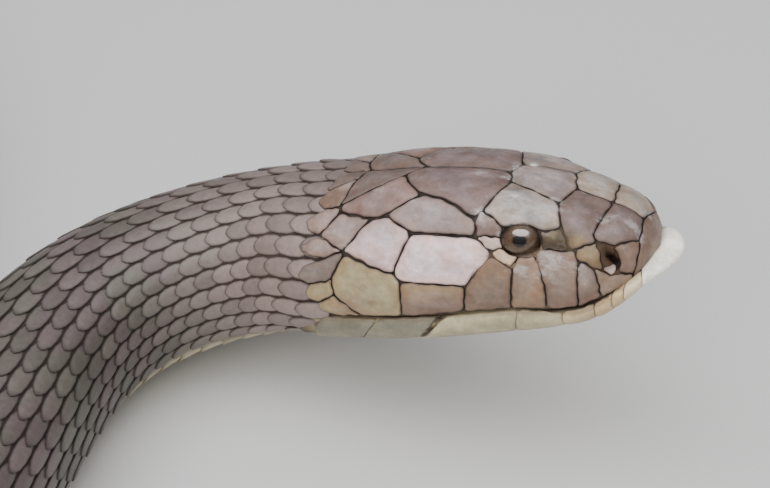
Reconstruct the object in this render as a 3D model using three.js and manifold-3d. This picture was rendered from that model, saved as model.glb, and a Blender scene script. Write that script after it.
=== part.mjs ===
// A king cobra at life size, lying in a loose flat coil with its head a little raised.
// Millimetres. +Z is up, the head points along +X and its left side faces +Y.
// The origin is at the middle of the animal's footprint, on the surface it lies on.

import * as THREE from 'three';
import { mergeVertices } from 'three/addons/utils/BufferGeometryUtils.js';
import Module from 'manifold-3d';

const wasm = await Module();
wasm.setup();

const { cos, sin, abs, sign, sqrt, hypot, exp, PI } = Math;
const degrees = PI / 180;

// Driving dimensions

const LENGTH = 4000; // from the tip of the snout to the tip of the tail, along the back
const HEAD_END = 96; // the head's length, back to the angle of the jaw
const NECK_END = 300;
const VENT = 3200; // the trunk ends and the tail begins here
const TRUNK_LENGTHS = 8;
const TAIL_LENGTHS = 3;
const GAP = 0.3; // between neighbouring solids

const HEAD_PITCH = 13.5 * degrees; // the head looks up by this much
const BELLY_PRESS = 0.07; // the share of its depth by which the belly is pressed flat on the floor
const LIFT_OFF = 262; // back from the snout, where the neck leaves the floor

const COIL_RADIUS = 300; // of the outer turn, at the neck's end
const COIL_SPACING = 73; // from one turn to the next
const COIL_START = 250; // back from the snout
const COIL_TIGHTEST = 55; // the smallest radius, at the tail's end
const COIL_OVAL = 0.16; // how far the turns are from round
const COIL_AXIS = 20 * degrees; // heading of the oval's long side

const EYE_RADIUS = 6.6;
const EYE_DEPTH = 4.4; // from the skin down to the ball's centre
const EYE_PLACE = { station: 30, clock: 45.5 }; // back from the snout, round from the crown
const EYE_LOOK = new THREE.Vector3(0.2, -0.92, 0.34).normalize(); // the right eye's axis

// The number of facets
const BODY_SIDES = 20;
const TAIL_SIDES = 16;
const HEAD_TOP_SIDES = 26;
const HEAD_FLOOR_SIDES = 4;
const JAW_SIDES = 26;

// A smooth curve through knots [place, value], without overshoot between them
function through(...knots) {
  const x = knots.map((k) => k[0]);
  const y = knots.map((k) => k[1]);
  const last = x.length - 1;
  const h = [];
  const d = [];
  for (let i = 0; i < last; i++) {
    h.push(x[i + 1] - x[i]);
    d.push((y[i + 1] - y[i]) / h[i]);
  }
  const m = y.map((_, i) => {
    if (i === 0) return d[0];
    if (i === last) return d[last - 1];
    if (d[i - 1] * d[i] <= 0) return 0;
    const w1 = 2 * h[i] + h[i - 1];
    const w2 = h[i] + 2 * h[i - 1];
    return (w1 + w2) / (w1 / d[i - 1] + w2 / d[i]);
  });
  return (place) => {
    const t = THREE.MathUtils.clamp(place, x[0], x[last]);
    let i = 0;
    while (i < last - 1 && t >= x[i + 1]) i++;
    const u = (t - x[i]) / h[i];
    const v = 1 - u;
    return (1 + 2 * u) * v * v * y[i] + u * v * v * h[i] * m[i]
      + u * u * (3 - 2 * u) * y[i + 1] - u * u * v * h[i] * m[i + 1];
  };
}

// The head above the lips, by the distance back from the snout
const headHalfWidth = through([0, 0], [1.5, 7.5], [4, 12], [8, 16], [14, 19], [22, 21.5], [32, 23],
  [45, 25], [60, 27], [75, 28], [90, 28], [110, 25], [150, 23]);
const headHeight = through([0, 0], [1.5, 5], [4, 10.5], [8, 15.5], [14, 20], [22, 24], [32, 28],
  [45, 30.5], [60, 31], [75, 30], [90, 28.5], [110, 26.5], [150, 24.5]);
const lipRise = through([0, 5.5], [4, 3.2], [8, 1.2], [14, -0.7], [35, -2], [60, -1.5], [90, -1],
  [150, 0]);
const headSquareness = through([0, 2.8], [14, 3.1], [40, 3], [90, 2.4], [150, 2.3]);
// The clock angle of the upper lip's edge
const lipClock = through([0, 90], [8, 91], [13, 89], [17.6, 91], [25, 88.5], [35, 85.5], [47, 86.5],
  [63, 88.5], [75, 88.5], [HEAD_END, 90]);
const SNOUT_CAP = 14; // in front of this, sections fan round the snout instead of crossing it

// Swellings and hollows of the head: place, reach along and round, and rise
const SWELLINGS = [
  { name: 'brow', station: 31, clock: 36, along: 9, round: 7, rise: 0.9 },
  { name: 'eye hollow', station: 30, clock: 47, along: 6.5, round: 9, rise: -0.8 },
  { name: 'hollow before the eye', station: 19.5, clock: 52, along: 6, round: 12, rise: -0.9 },
  { name: 'nostril', station: 11, clock: 58, along: 4, round: 14, rise: 0.6 },
  { name: 'cheek', station: 62, clock: 66, along: 20, round: 18, rise: 0.7 },
  { name: 'crown furrow', station: 66, clock: 0, along: 16, round: 5, rise: -0.5 },
];

// The lower jaw
const JAW_TIP = -5.4;
const jawHalfWidth = through([JAW_TIP, 0], [-4.8, 4], [-3.5, 7.3], [-1, 10.8], [2, 13.6],
  [8, 17.3], [14, 19.4], [22, 21.2], [32, 22.9], [45, 24.9], [60, 26.8], [75, 27.8],
  [HEAD_END, 27.4]);
const jawTop = through([JAW_TIP, 3.2], [-4.8, 4], [-3.5, 4.8], [-1.5, 5.1], [0.5, 4.9], [3, 4],
  [5.5, 3.2], [8, 2.6], [13, 1], [17.6, -0.1], [25, 0.3], [35, 1.6], [47, 1.2], [63, 0.4],
  [75, 0.5], [86, -0.2], [HEAD_END, -1.7]);
const jawBottom = through([JAW_TIP, 3.2], [-4.8, 2.3], [-3.5, 1.7], [-1, 0.9], [2, -0.9], [8, -5.5],
  [14, -9.2], [22, -11.6], [45, -13.6], [60, -14.5], [75, -15], [HEAD_END, -14.6]);
const jawWidest = through([JAW_TIP, 3.2], [0, 2.8], [8, -0.4], [14, -1.8], [35, -2.2], [75, -2.6],
  [HEAD_END, -3]);
const jawTopSquareness = through([JAW_TIP, 2.6], [5, 2.6], [16, 3.5], [HEAD_END, 3.5]);
const JAW_BOTTOM_SQUARENESS = 2.4;

// The body behind the head
const bodyHalfWidth = through([HEAD_END, 27.6], [110, 25.2], [150, 23], [300, 23.2], [600, 25],
  [1000, 27.5], [1600, 29.5], [2200, 29.5], [2700, 27], [3050, 23.5], [3200, 20.5], [3350, 17.5],
  [3600, 11.5], [3850, 5.2], [3970, 2.2], [LENGTH, 1]);
const bodyTop = through([HEAD_END, 27.9], [110, 26.5], [150, 24.5], [300, 24], [600, 25.5],
  [1000, 27.5], [1600, 29], [2200, 29], [2700, 26.5], [3050, 23], [3200, 20.5], [3350, 17.5],
  [3600, 11.5], [3850, 5.2], [3970, 2.2], [LENGTH, 1]);
const bodyBottom = through([HEAD_END, 14.5], [115, 17.5], [150, 20], [300, 21], [600, 23],
  [1000, 25], [1600, 27], [2200, 27], [2700, 25], [3050, 21.5], [3200, 18.5], [3350, 16],
  [3600, 10.8], [3850, 5], [3970, 2.2], [LENGTH, 1]);
const bodySquareness = through([HEAD_END, 2.4], [150, 2.25], [LENGTH, 2.1]);
const BELLY_SQUARENESS = 2.5;

// How fast the neck turns, in radians per metre, and how steeply it rises, in degrees
const neckTurn = through([0, 0], [97, 0], [112, 17], [172, 19.5], [205, 5], [235, 0], [240, 0]);
const neckSlope = through([0, 13.5], [94, 13.5], [130, 10.8], [180, 5.6], [225, 1.6],
  [LIFT_OFF, 0], [LIFT_OFF + 1, 0]);

// The line through the middle of the body, in steps of a millimetre from the snout back.
// The coil is the involute of a circle, so that its turns keep one spacing.
function bodyLine() {
  const line = [{ x: 0, y: 0, z: 0, heading: PI, slope: HEAD_PITCH }];
  for (let s = 1; s <= LENGTH; s++) {
    const here = line[s - 1];
    const middle = s - 0.5;
    const start = THREE.MathUtils.smoothstep(middle, 205, 295);
    const unwound = COIL_RADIUS ** 2 - (COIL_SPACING / PI) * Math.max(middle - COIL_START, 0);
    const radius = sqrt(Math.max(unwound, COIL_TIGHTEST ** 2));
    const oval = 1 + COIL_OVAL * cos(2 * (here.heading - COIL_AXIS));
    const heading = here.heading + neckTurn(middle) / 1000 - (start * oval) / radius;
    const slope = neckSlope(s) * degrees;
    const h = (here.heading + heading) / 2;
    const b = (here.slope + slope) / 2;
    line.push({ x: here.x + cos(h) * cos(b), y: here.y + sin(h) * cos(b), z: here.z - sin(b),
      heading, slope });
  }
  const resting = (s) => bodyBottom(s) * (1 - BELLY_PRESS);
  const rise = resting(LIFT_OFF) - line[LIFT_OFF].z;
  line.forEach((p, s) => {
    p.z = s > LIFT_OFF ? resting(s) : p.z + rise;
  });
  return line;
}

const LINE = bodyLine();

// A place beside the body's line: to the animal's left by side and towards its back by up
function beside(s, side, up) {
  const i = Math.min(Math.floor(s), LENGTH - 1);
  const f = s - i;
  const mix = (key) => LINE[i][key] * (1 - f) + LINE[i + 1][key] * f;
  const heading = mix('heading');
  const slope = mix('slope');
  return new THREE.Vector3(
    mix('x') + sin(heading) * side + cos(heading) * sin(slope) * up,
    mix('y') - cos(heading) * side + sin(heading) * sin(slope) * up,
    Math.max(mix('z') + cos(slope) * up, 0),
  );
}

// A place in the head's own axes: forward of the snout, to the left, and above the lips
function onHead(forward, left, up) {
  const tip = LINE[0];
  return new THREE.Vector3(
    tip.x + cos(HEAD_PITCH) * forward - sin(HEAD_PITCH) * up,
    tip.y + left,
    tip.z + sin(HEAD_PITCH) * forward + cos(HEAD_PITCH) * up,
  );
}

function swelling(station, clock) {
  return SWELLINGS.reduce((sum, w) => {
    const along = (station - w.station) / w.along;
    const round = (abs(clock) - w.clock) / w.round;
    return sum + w.rise * exp(-along * along - round * round);
  }, 0);
}

// The head's surface above the lips. The clock angle is in degrees from the crown, positive
// to the left. It returns [forward, left, up], grown by extra.
function headSurface(station, clock, extra = 0) {
  const fan = station < SNOUT_CAP ? (station / SNOUT_CAP) * (PI / 2) : PI / 2;
  const centre = Math.max(station, SNOUT_CAP);
  const forward = cos(fan);
  const left = sin(fan) * sin(clock * degrees);
  const up = sin(fan) * cos(clock * degrees);
  let low = 0;
  let high = 60;
  while (high - low > 0.001) {
    const r = (low + high) / 2;
    const back = centre - forward * r;
    const n = headSquareness(back);
    const inside = back > 0
      && abs(left * r / headHalfWidth(back)) ** n + abs(up * r / headHeight(back)) ** n < 1;
    if (inside) low = r;
    else high = r;
  }
  const r = low + swelling(station, clock) + extra;
  const back = centre - forward * r;
  return [-back, left * r, up * r + lipRise(back)];
}

// A closed tube with flat ends: a cylinder's vertices moved onto rings. ring(i, t) gives the
// place at ring i and turn t, and middle(i) the middle of an end.
function tube(sides, rings, ring, middle) {
  const cylinder = new THREE.CylinderGeometry(1, 1, 1, sides, rings - 1);
  const place = cylinder.attributes.position;
  const v = new THREE.Vector3();
  for (let k = 0; k < place.count; k++) {
    v.fromBufferAttribute(place, k);
    const i = Math.round((0.5 - v.y) * (rings - 1));
    const turn = (Math.atan2(v.x, v.z) / (2 * PI) + 1) % 1;
    const side = Math.round(turn * sides) % sides;
    const p = hypot(v.x, v.z) < 0.5 ? middle(i) : ring(i, side);
    place.setXYZ(k, p.x, p.y, p.z);
  }
  return solid(cylinder);
}

// A geometry's solid, with its shared vertices merged
function solid(geometry) {
  geometry.deleteAttribute('normal');
  geometry.deleteAttribute('uv');
  const merged = mergeVertices(geometry, 1e-4);
  const mesh = new wasm.Mesh({
    numProp: 3,
    vertProperties: new Float32Array(merged.attributes.position.array),
    triVerts: new Uint32Array(merged.index.array),
  });
  return new wasm.Manifold(mesh);
}

const HEAD_STATIONS = [0.4, 1.6, 3.2, 5, 7, 9.2, 11.5, 14, 17, 20.5, 24, 27, 30, 33, 36.5, 41, 47,
  54, 62, 70, 78, 86, HEAD_END - GAP / 2];

// The head above the lips, grown by extra
function cranium(extra = 0) {
  const sides = HEAD_TOP_SIDES + HEAD_FLOOR_SIDES;
  const lip = (station, clock) => headSurface(station, clock, extra);
  const ring = (i, side) => {
    const station = HEAD_STATIONS[i];
    const edge = lipClock(station);
    if (side <= HEAD_TOP_SIDES) {
      const [x, y, z] = lip(station, edge - (2 * edge * side) / HEAD_TOP_SIDES);
      return side % HEAD_TOP_SIDES ? onHead(x, y, z) : onHead(x, y, z - extra);
    }
    const across = (side - HEAD_TOP_SIDES) / HEAD_FLOOR_SIDES;
    const [x, y, z] = lip(station, -edge);
    return onHead(x, y * (1 - 2 * across), z - extra);
  };
  const middle = (i) => {
    const station = HEAD_STATIONS[i];
    if (i === 0) return onHead(extra, 0, lipRise(0));
    const [x, , z] = lip(station, 0);
    return onHead(x, 0, z / 2);
  };
  return tube(sides, HEAD_STATIONS.length, ring, middle);
}

const JAW_STATIONS = [-5.25, -4.9, -4.2, -3, -1.2, 1, 3.5, 6.5, 10, 14, 19, 25, 32, 40, 49, 58, 67,
  76, 86, HEAD_END - GAP / 2];

function jawBlank() {
  const ring = (i, side) => {
    const a = JAW_STATIONS[i];
    const turn = (2 * PI * side) / JAW_SIDES;
    const c = cos(turn);
    const s = sin(turn);
    const power = 2 / (s > 0 ? jawTopSquareness(a) : JAW_BOTTOM_SQUARENESS);
    const y = jawHalfWidth(a) * sign(c) * abs(c) ** power;
    const reach = s > 0 ? jawTop(a) - jawWidest(a) : jawBottom(a) - jawWidest(a);
    return onHead(-a, y, jawWidest(a) + reach * abs(s) ** power);
  };
  const middle = (i) => {
    const a = i === 0 ? JAW_TIP : JAW_STATIONS[i];
    return onHead(-a, 0, jawWidest(a));
  };
  return tube(JAW_SIDES, JAW_STATIONS.length, ring, middle);
}

// A length of the body from station a to b. The tail's last length ends in a point.
function bodyLength(a, b, step, sides) {
  const rings = Math.round((b - a) / step) + 1;
  const from = a + GAP / 2;
  const to = b === LENGTH ? b - 2 : b - GAP / 2;
  const station = (i) => from + ((to - from) * i) / (rings - 1);
  const ring = (i, side) => {
    const s = station(i);
    const turn = (2 * PI * side) / sides;
    const wide = bodyHalfWidth(s);
    const back = cos(turn) >= 0;
    const tall = back ? bodyTop(s) : bodyBottom(s);
    const n = back ? bodySquareness(s) : BELLY_SQUARENESS;
    const r = (abs(sin(turn) / wide) ** n + abs(cos(turn) / tall) ** n) ** (-1 / n);
    return beside(s, -r * sin(turn), r * cos(turn));
  };
  const end = (i) => (i > 0 && b === LENGTH ? LENGTH : station(i));
  return tube(sides, rings, ring, (i) => beside(end(i), 0, 0));
}

// The place and axis of an eye's ball. side is 1 for the left eye and -1 for the right one.
function eyeMiddle(side) {
  const [x, y, z] = headSurface(EYE_PLACE.station, EYE_PLACE.clock);
  return onHead(
    x - EYE_LOOK.x * EYE_DEPTH,
    side * (y + EYE_LOOK.y * EYE_DEPTH),
    z - EYE_LOOK.z * EYE_DEPTH,
  );
}

function eyeBall(side, extra = 0) {
  const ball = new THREE.SphereGeometry(EYE_RADIUS + extra, 14, 9);
  ball.rotateX(PI / 2);
  const middle = eyeMiddle(side);
  ball.translate(middle.x, middle.y, middle.z);
  return solid(ball);
}

// Materials: satin grey-brown plates above, cream below, and dark brown eyes
const COLOURS = {
  plates: { color: 0x8d7f78, roughness: 0.48 },
  cream: { color: 0xd9d0b8, roughness: 0.5 },
  scales: { color: 0x6f6659, roughness: 0.5 },
  tail: { color: 0x59524a, roughness: 0.5 },
  eye: { color: 0x3a261c, roughness: 0.08 },
};

const snake = new THREE.Group();

function add(name, part, finish) {
  const made = part.getMesh();
  const geometry = new THREE.BufferGeometry();
  geometry.setAttribute('position', new THREE.BufferAttribute(made.vertProperties, 3));
  geometry.setIndex(new THREE.BufferAttribute(made.triVerts, 1));
  geometry.computeVertexNormals();
  const material = new THREE.MeshStandardMaterial({ ...COLOURS[finish], metalness: 0 });
  const mesh = new THREE.Mesh(geometry, material);
  mesh.name = name;
  snake.add(mesh);
}

const sockets = eyeBall(1, GAP).add(eyeBall(-1, GAP));
add('head', cranium().subtract(sockets), 'plates');
add('lower_jaw', jawBlank().subtract(cranium(GAP)), 'cream');
add('eye_right', eyeBall(-1), 'eye');
add('eye_left', eyeBall(1), 'eye');
add('neck', bodyLength(HEAD_END, NECK_END, 10.5, BODY_SIDES), 'scales');

const trunkStep = (VENT - NECK_END) / TRUNK_LENGTHS;
for (let i = 0; i < TRUNK_LENGTHS; i++) {
  const from = NECK_END + i * trunkStep;
  add(`trunk_${i + 1}`, bodyLength(from, from + trunkStep, 32, BODY_SIDES), 'scales');
}

const tailStep = (LENGTH - VENT) / TAIL_LENGTHS;
for (let i = 0; i < TAIL_LENGTHS; i++) {
  const from = VENT + i * tailStep;
  add(`tail_${i + 1}`, bodyLength(from, from + tailStep, 18, TAIL_SIDES), 'tail');
}

const footprint = new THREE.Box3().setFromObject(snake, true);
const middle = footprint.getCenter(new THREE.Vector3());
snake.position.set(-middle.x, -middle.y, -footprint.min.z);

export default snake;
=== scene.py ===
from math import pi, radians

import bpy
import numpy as np
from mathutils import Matrix, Vector

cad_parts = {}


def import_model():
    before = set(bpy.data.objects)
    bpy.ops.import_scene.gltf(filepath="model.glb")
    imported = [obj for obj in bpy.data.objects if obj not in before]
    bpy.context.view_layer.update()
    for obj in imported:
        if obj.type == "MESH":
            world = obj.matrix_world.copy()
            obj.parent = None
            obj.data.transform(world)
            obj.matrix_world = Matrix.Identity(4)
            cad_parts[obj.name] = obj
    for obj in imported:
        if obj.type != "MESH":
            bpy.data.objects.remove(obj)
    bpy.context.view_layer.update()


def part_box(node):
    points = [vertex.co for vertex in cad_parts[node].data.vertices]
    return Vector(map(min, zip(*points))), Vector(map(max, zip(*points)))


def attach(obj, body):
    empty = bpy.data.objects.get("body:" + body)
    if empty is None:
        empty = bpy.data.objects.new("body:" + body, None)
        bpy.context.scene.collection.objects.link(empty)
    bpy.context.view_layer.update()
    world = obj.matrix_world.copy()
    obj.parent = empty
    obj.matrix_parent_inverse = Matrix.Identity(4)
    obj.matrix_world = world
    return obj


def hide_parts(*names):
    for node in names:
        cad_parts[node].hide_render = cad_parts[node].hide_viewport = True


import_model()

# A king cobra at life size, in a loose flat coil with its head a little raised.
# Lengths here are millimetres until world() makes them metres. A place on the animal is its
# station, back from the snout, and its clock angle in degrees, from 0 on the crown and the
# back, through 90 at the side, to 180 under the belly; the left side's angles are positive.

MM = 0.001

# The body's driving sizes

LENGTH = 4000
HEAD_END = 96
NECK_END = 300
VENT = 3200  # where the tail begins
TRUNK_LENGTHS = 8
TAIL_LENGTHS = 3
HEAD_PITCH = radians(13.5)
BELLY_PRESS = 0.07  # the share of its depth below the line by which the floor flattens it
LIFT_OFF = 262  # where the neck leaves the floor
COIL_RADIUS = 300  # of the outermost turn
COIL_SPACING = 73  # between one turn and the next
COIL_START = 250
COIL_EASE = (205, 295)  # the stretch over which the coil's bend comes in
COIL_TIGHTEST = 55  # the least radius, at the tail's tip
COIL_OVAL = 0.16  # how much more or less it bends along its axis and across
COIL_AXIS = radians(20)

EYE_RADIUS = 6.6
EYE_DEPTH = 4.4
EYE_STATION, EYE_CLOCK = 30, 45.5
EYE_SQUASH = (0.90, 0.70, 1)  # along and up, under the lids
EYE_SQUASH_EASE = (12, 50)  # degrees off the eye's axis over which that comes in
EYE_SHIFT = (0.15, 0.7)  # mm back and up from the hollow's middle
PUPIL_SQUASH = 0.9
EYE_GAZE = (0.45, 0.05)  # mm forward and up from the ball's middle to the pupil's
EYE_LOOK = (0.2, 0.92, 0.34)  # the way the left eye looks
EYE_DEGREE = 0.47  # mm across the eye hollow for each degree of clock angle

SHIELD_DEPTH = 0.55  # from the outside of the head's shields down to the skin
SCALE_DEPTH = 0.9  # the same for the body's overlapping scales
COAT_EASE = (80, 100)  # stations over which the first depth runs over into the second
BELLY_EDGE = 118  # clock angle where the broad belly plates begin

rng = np.random.default_rng(7)


def through(*knots):
    """A smooth curve through (place, value) knots, without overshoot between them."""
    x, y = np.array(knots, float).T
    h = np.diff(x)
    d = np.diff(y) / h
    m = np.zeros_like(y)
    m[0], m[-1] = d[0], d[-1]
    for i in range(1, len(x) - 1):
        if d[i - 1] * d[i] > 0:
            w1, w2 = 2 * h[i] + h[i - 1], h[i] + 2 * h[i - 1]
            m[i] = (w1 + w2) / (w1 / d[i - 1] + w2 / d[i])

    def curve(place):
        t = np.clip(place, x[0], x[-1])
        i = np.clip(np.searchsorted(x, t, side="right") - 1, 0, len(h) - 1)
        u = (t - x[i]) / h[i]
        v = 1 - u
        return ((1 + 2 * u) * v * v * y[i] + u * v * v * h[i] * m[i]
                + u * u * (3 - 2 * u) * y[i + 1] - u * u * v * h[i] * m[i + 1])

    return curve


def ease(low, high, value):
    t = np.clip((value - low) / (high - low), 0, 1)
    return t * t * (3 - 2 * t)


def unit(vector):
    return vector / np.linalg.norm(vector)


# The line through the middle of the body

neck_turn = through((0, 0), (97, 0), (112, 17), (172, 19.5), (205, 5), (235, 0), (240, 0))
neck_slope = through((0, 13.5), (94, 13.5), (130, 10.8), (180, 5.6), (225, 1.6),
                     (LIFT_OFF, 0), (LIFT_OFF + 1, 0))
body_bottom = through((HEAD_END, 14.5), (115, 17.5), (150, 20), (300, 21), (600, 23), (1000, 25),
                      (1600, 27), (2200, 27), (2700, 25), (3050, 21.5), (3200, 18.5), (3350, 16),
                      (3600, 10.8), (3850, 5), (3970, 2.2), (LENGTH, 1))


def body_line():
    x, y, z = np.zeros((3, LENGTH + 1))
    heading = np.full(LENGTH + 1, pi)
    slope = np.radians(neck_slope(np.arange(LENGTH + 1)))
    turn = neck_turn(np.arange(LENGTH) + 0.5) / 1000
    for s in range(1, LENGTH + 1):
        middle = s - 0.5
        unwound = COIL_RADIUS ** 2 - COIL_SPACING / pi * max(middle - COIL_START, 0)
        radius = max(unwound, COIL_TIGHTEST ** 2) ** 0.5
        oval = 1 + COIL_OVAL * np.cos(2 * (heading[s - 1] - COIL_AXIS))
        heading[s] = heading[s - 1] + turn[s - 1] - ease(*COIL_EASE, middle) * oval / radius
        h, b = (heading[s] + heading[s - 1]) / 2, (slope[s] + slope[s - 1]) / 2
        x[s] = x[s - 1] + np.cos(h) * np.cos(b)
        y[s] = y[s - 1] + np.sin(h) * np.cos(b)
        z[s] = z[s - 1] - np.sin(b)
    resting = body_bottom(np.arange(LENGTH + 1)) * (1 - BELLY_PRESS)
    z += resting[LIFT_OFF] - z[LIFT_OFF]
    z[LIFT_OFF + 1:] = resting[LIFT_OFF + 1:]
    return np.array([x, y, z, heading, slope])


LINE = body_line()


def world(back, left, up, lowest=0.0):
    """Metres in the frame, from millimetres back from the snout, to the left and up."""
    at = np.clip(back, 0, LENGTH)
    over = back - at
    x, y, z, heading, slope = (np.interp(at, np.arange(LENGTH + 1), row) for row in LINE)
    return MM * np.stack([
        x + np.cos(heading) * (np.cos(slope) * over + np.sin(slope) * up) + np.sin(heading) * left,
        y + np.sin(heading) * (np.cos(slope) * over + np.sin(slope) * up) - np.cos(heading) * left,
        np.maximum(z - np.sin(slope) * over + np.cos(slope) * up, lowest),
    ], -1)


JAW_TIP = -5.4
JAW_TIP_RISE = 3.2
_, jaw_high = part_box("lower_jaw")
head_low, head_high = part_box("head")
LINE[0] += jaw_high.x / MM - world(JAW_TIP, 0, JAW_TIP_RISE)[0] / MM
LINE[1] += (head_low.y + head_high.y) / 2 / MM


# The outer form, in sections across the length

class Form:
    """Sections by the distance back from the snout. In front of cap, they fan round the tip."""

    THIN = 1e-3  # the least half width or height that a section is reckoned with
    FARTHEST = 80.0  # from the fan's middle, beyond any surface in front of it
    HALVINGS = 26  # of that distance, to find the surface

    def __init__(self, tip, cap, wide, top, bottom, middle, square_top, square_bottom, swells=()):
        self.tip, self.cap = tip, cap
        self.wide, self.top, self.bottom, self.middle = wide, top, bottom, middle
        self.square_top, self.square_bottom = square_top, square_bottom
        self.swells = swells

    def _fill(self, back, left, up):
        """Below 1 inside the section and above 1 outside it."""
        above = up >= 0
        n = np.where(above, self.square_top(back), self.square_bottom(back))
        tall = np.where(above, self.top(back), self.bottom(back))
        wide, tall = np.maximum(self.wide(back), self.THIN), np.maximum(tall, self.THIN)
        fill = (np.abs(left) / wide) ** n + (np.abs(up) / tall) ** n
        return np.where(back > self.tip, fill, np.inf), n

    def surface(self, station, clock, rise=0.0):
        """(back, left, up) of a place on the form, raised by rise."""
        station, clock, rise = (np.atleast_1d(np.array(v, float)) for v in
                                np.broadcast_arrays(station, clock, rise))
        fan = np.minimum(station / self.cap, 1) * pi / 2
        centre = self.tip + np.maximum(station, self.cap)
        turn = np.radians(clock)
        ahead = np.cos(fan)
        left = np.sin(fan) * np.sin(turn)
        up = np.sin(fan) * np.cos(turn)
        fill, n = self._fill(centre, left, up)
        reach = fill ** (-1 / n)
        front = station < self.cap
        if front.any():
            low, high = np.zeros(front.sum()), np.full(front.sum(), self.FARTHEST)
            for _ in range(self.HALVINGS):
                r = (low + high) / 2
                inside = self._fill(centre[front] - ahead[front] * r,
                                    left[front] * r, up[front] * r)[0] < 1
                low, high = np.where(inside, r, low), np.where(inside, high, r)
            reach[front] = low
        for at, round_to, along, around, swell in self.swells:
            reach += swell * np.exp(-((station - at) / along) ** 2
                                    - ((np.abs(clock) - round_to) / around) ** 2)
        reach += rise
        back = centre - ahead * reach
        return back, left * reach, up * reach + self.middle(back)

    def locate(self, back, left, up):
        """The station and clock angle of the ray through a place."""
        up = up - self.middle(back)
        ahead = self.tip + self.cap - back
        fan = np.arctan2(np.hypot(left, up), ahead)
        station = np.where(ahead > 0, fan / (pi / 2) * self.cap, back - self.tip)
        return station, np.degrees(np.arctan2(left, up))


HEAD_TO_BODY = (88, 104)  # where the head's curves run over into the body's
JAW_END = 108  # the jaw runs out inside the throat


def joined(head, body):
    """A head curve that runs over into a body curve behind the jaw."""
    def curve(back):
        share = ease(*HEAD_TO_BODY, back)
        return head(back) * (1 - share) + body(back) * share
    return curve


body_wide = through((HEAD_END, 27.6), (110, 25.2), (150, 23), (300, 23.2), (600, 25),
                    (1000, 27.5), (1600, 29.5), (2200, 29.5), (2700, 27), (3050, 23.5),
                    (3200, 20.5), (3350, 17.5), (3600, 11.5), (3850, 5.2), (3970, 2.2), (LENGTH, 1))
body_top = through((HEAD_END, 27.9), (110, 26.5), (150, 24.5), (300, 24), (600, 25.5),
                   (1000, 27.5), (1600, 29), (2200, 29), (2700, 26.5), (3050, 23), (3200, 20.5),
                   (3350, 17.5), (3600, 11.5), (3850, 5.2), (3970, 2.2), (LENGTH, 1))
body_square = through((HEAD_END, 2.4), (150, 2.25), (LENGTH, 2.1))
head_wide = through((0, 0), (1.5, 7.5), (4, 12), (8, 16), (14, 19), (22, 21.5), (32, 23),
                    (45, 25), (60, 27), (75, 28), (90, 28), (110, 25), (150, 23))
head_top = through((0, 0), (1.5, 5), (4, 10.5), (8, 15.5), (14, 20), (22, 24), (32, 28),
                   (45, 30.5), (60, 31), (75, 30), (90, 28.5), (110, 26.5), (150, 24.5))
lip_rise = through((0, 5.5), (4, 3.2), (8, 1.2), (14, -0.7), (35, -2), (60, -1.5), (90, -1),
                   (150, 0))
head_square = through((0, 2.8), (14, 3.1), (40, 3), (90, 2.4), (150, 2.3))
palate = through((0, 0.5), (6, 3), (74, 4), (86, 9), (97, 14), (110, 16.7))  # inside the jaw
SWELLS = (  # station, clock, reach along and round, rise
    (31, 36, 9, 7, 0.9),  # brow
    (30, 47, 6.5, 9, -0.8),  # eye hollow
    (19.5, 52, 6, 12, -0.9),  # hollow before the eye
    (11, 58, 4, 14, 0.6),  # nostril
    (62, 66, 20, 18, 0.7),  # cheek
    (66, 0, 16, 5, -0.5),  # crown furrow
    (48, 98, 40, 9, -1.7),  # under the lip
)

BODY = Form(
    tip=0, cap=14,
    wide=joined(head_wide, body_wide),
    top=joined(head_top, body_top),
    bottom=lambda back: np.where(back < JAW_END, palate(back), body_bottom(back)),
    middle=joined(lip_rise, lambda back: 0 * back),
    square_top=joined(head_square, body_square),
    square_bottom=lambda back: 2.5 + 0 * back,
    swells=SWELLS,
)

jaw_wide = through((JAW_TIP, 0), (-4.8, 4), (-3.5, 7.3), (-1, 10.8), (2, 13.6), (8, 17.3),
                   (14, 19.4), (22, 21.2), (32, 22.9), (45, 24.9), (60, 26.8), (75, 27.8),
                   (HEAD_END, 27.2), (JAW_END, 16))
jaw_middle = through((JAW_TIP, JAW_TIP_RISE), (0, 2.8), (8, -0.4), (14, -1.8), (35, -2.2),
                     (75, -2.6), (JAW_END, -3.2))
jaw_top_level = through((JAW_TIP, JAW_TIP_RISE), (-4.8, 4.0), (-3.5, 4.8), (-1.5, 5.1), (0.5, 4.9),
                        (3, 4.0), (5.5, 3.2), (8, 2.6), (13, 1), (17.6, -0.1), (25, 0.3),
                        (35, 1.6), (47, 1.2), (63, 0.4), (75, 0.5), (90, -0.4), (JAW_END, -1.3))
jaw_bottom_level = through((JAW_TIP, JAW_TIP_RISE), (-4.8, 2.3), (-3.5, 1.7), (-1, 0.9), (2, -0.9),
                           (8, -5.5), (14, -9.2), (22, -11.6), (45, -13.6), (60, -14.5),
                           (75, -15), (HEAD_END, -14.6), (JAW_END, -9))
jaw_square = through((JAW_TIP, 2.6), (5, 2.6), (16, 3.5), (JAW_END, 3.5))
mouth_line = through((0, 5), (5, 3.4), (8, 2.3), (13, 0.3), (17.6, -1), (25, -0.8), (35, 0.3),
                     (47, 0.1), (63, -0.6), (75, -0.5), (90, -1), (150, -2))
JAW = Form(
    tip=JAW_TIP, cap=12,
    wide=jaw_wide,
    top=lambda back: jaw_top_level(back) - jaw_middle(back),
    bottom=lambda back: jaw_middle(back) - jaw_bottom_level(back),
    middle=jaw_middle,
    square_top=jaw_square,
    square_bottom=lambda back: 2.45 + 0 * back,
)


def on(form, station, clock, rise=0.0):
    """Metres in the frame of a place on a form. On the floor a raised place isn't lowered."""
    return world(*form.surface(station, clock, rise), lowest=np.maximum(-np.asarray(rise), 0))


# Making and finishing meshes

def deselect():
    for other in bpy.context.selected_objects:
        other.select_set(False)


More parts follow.
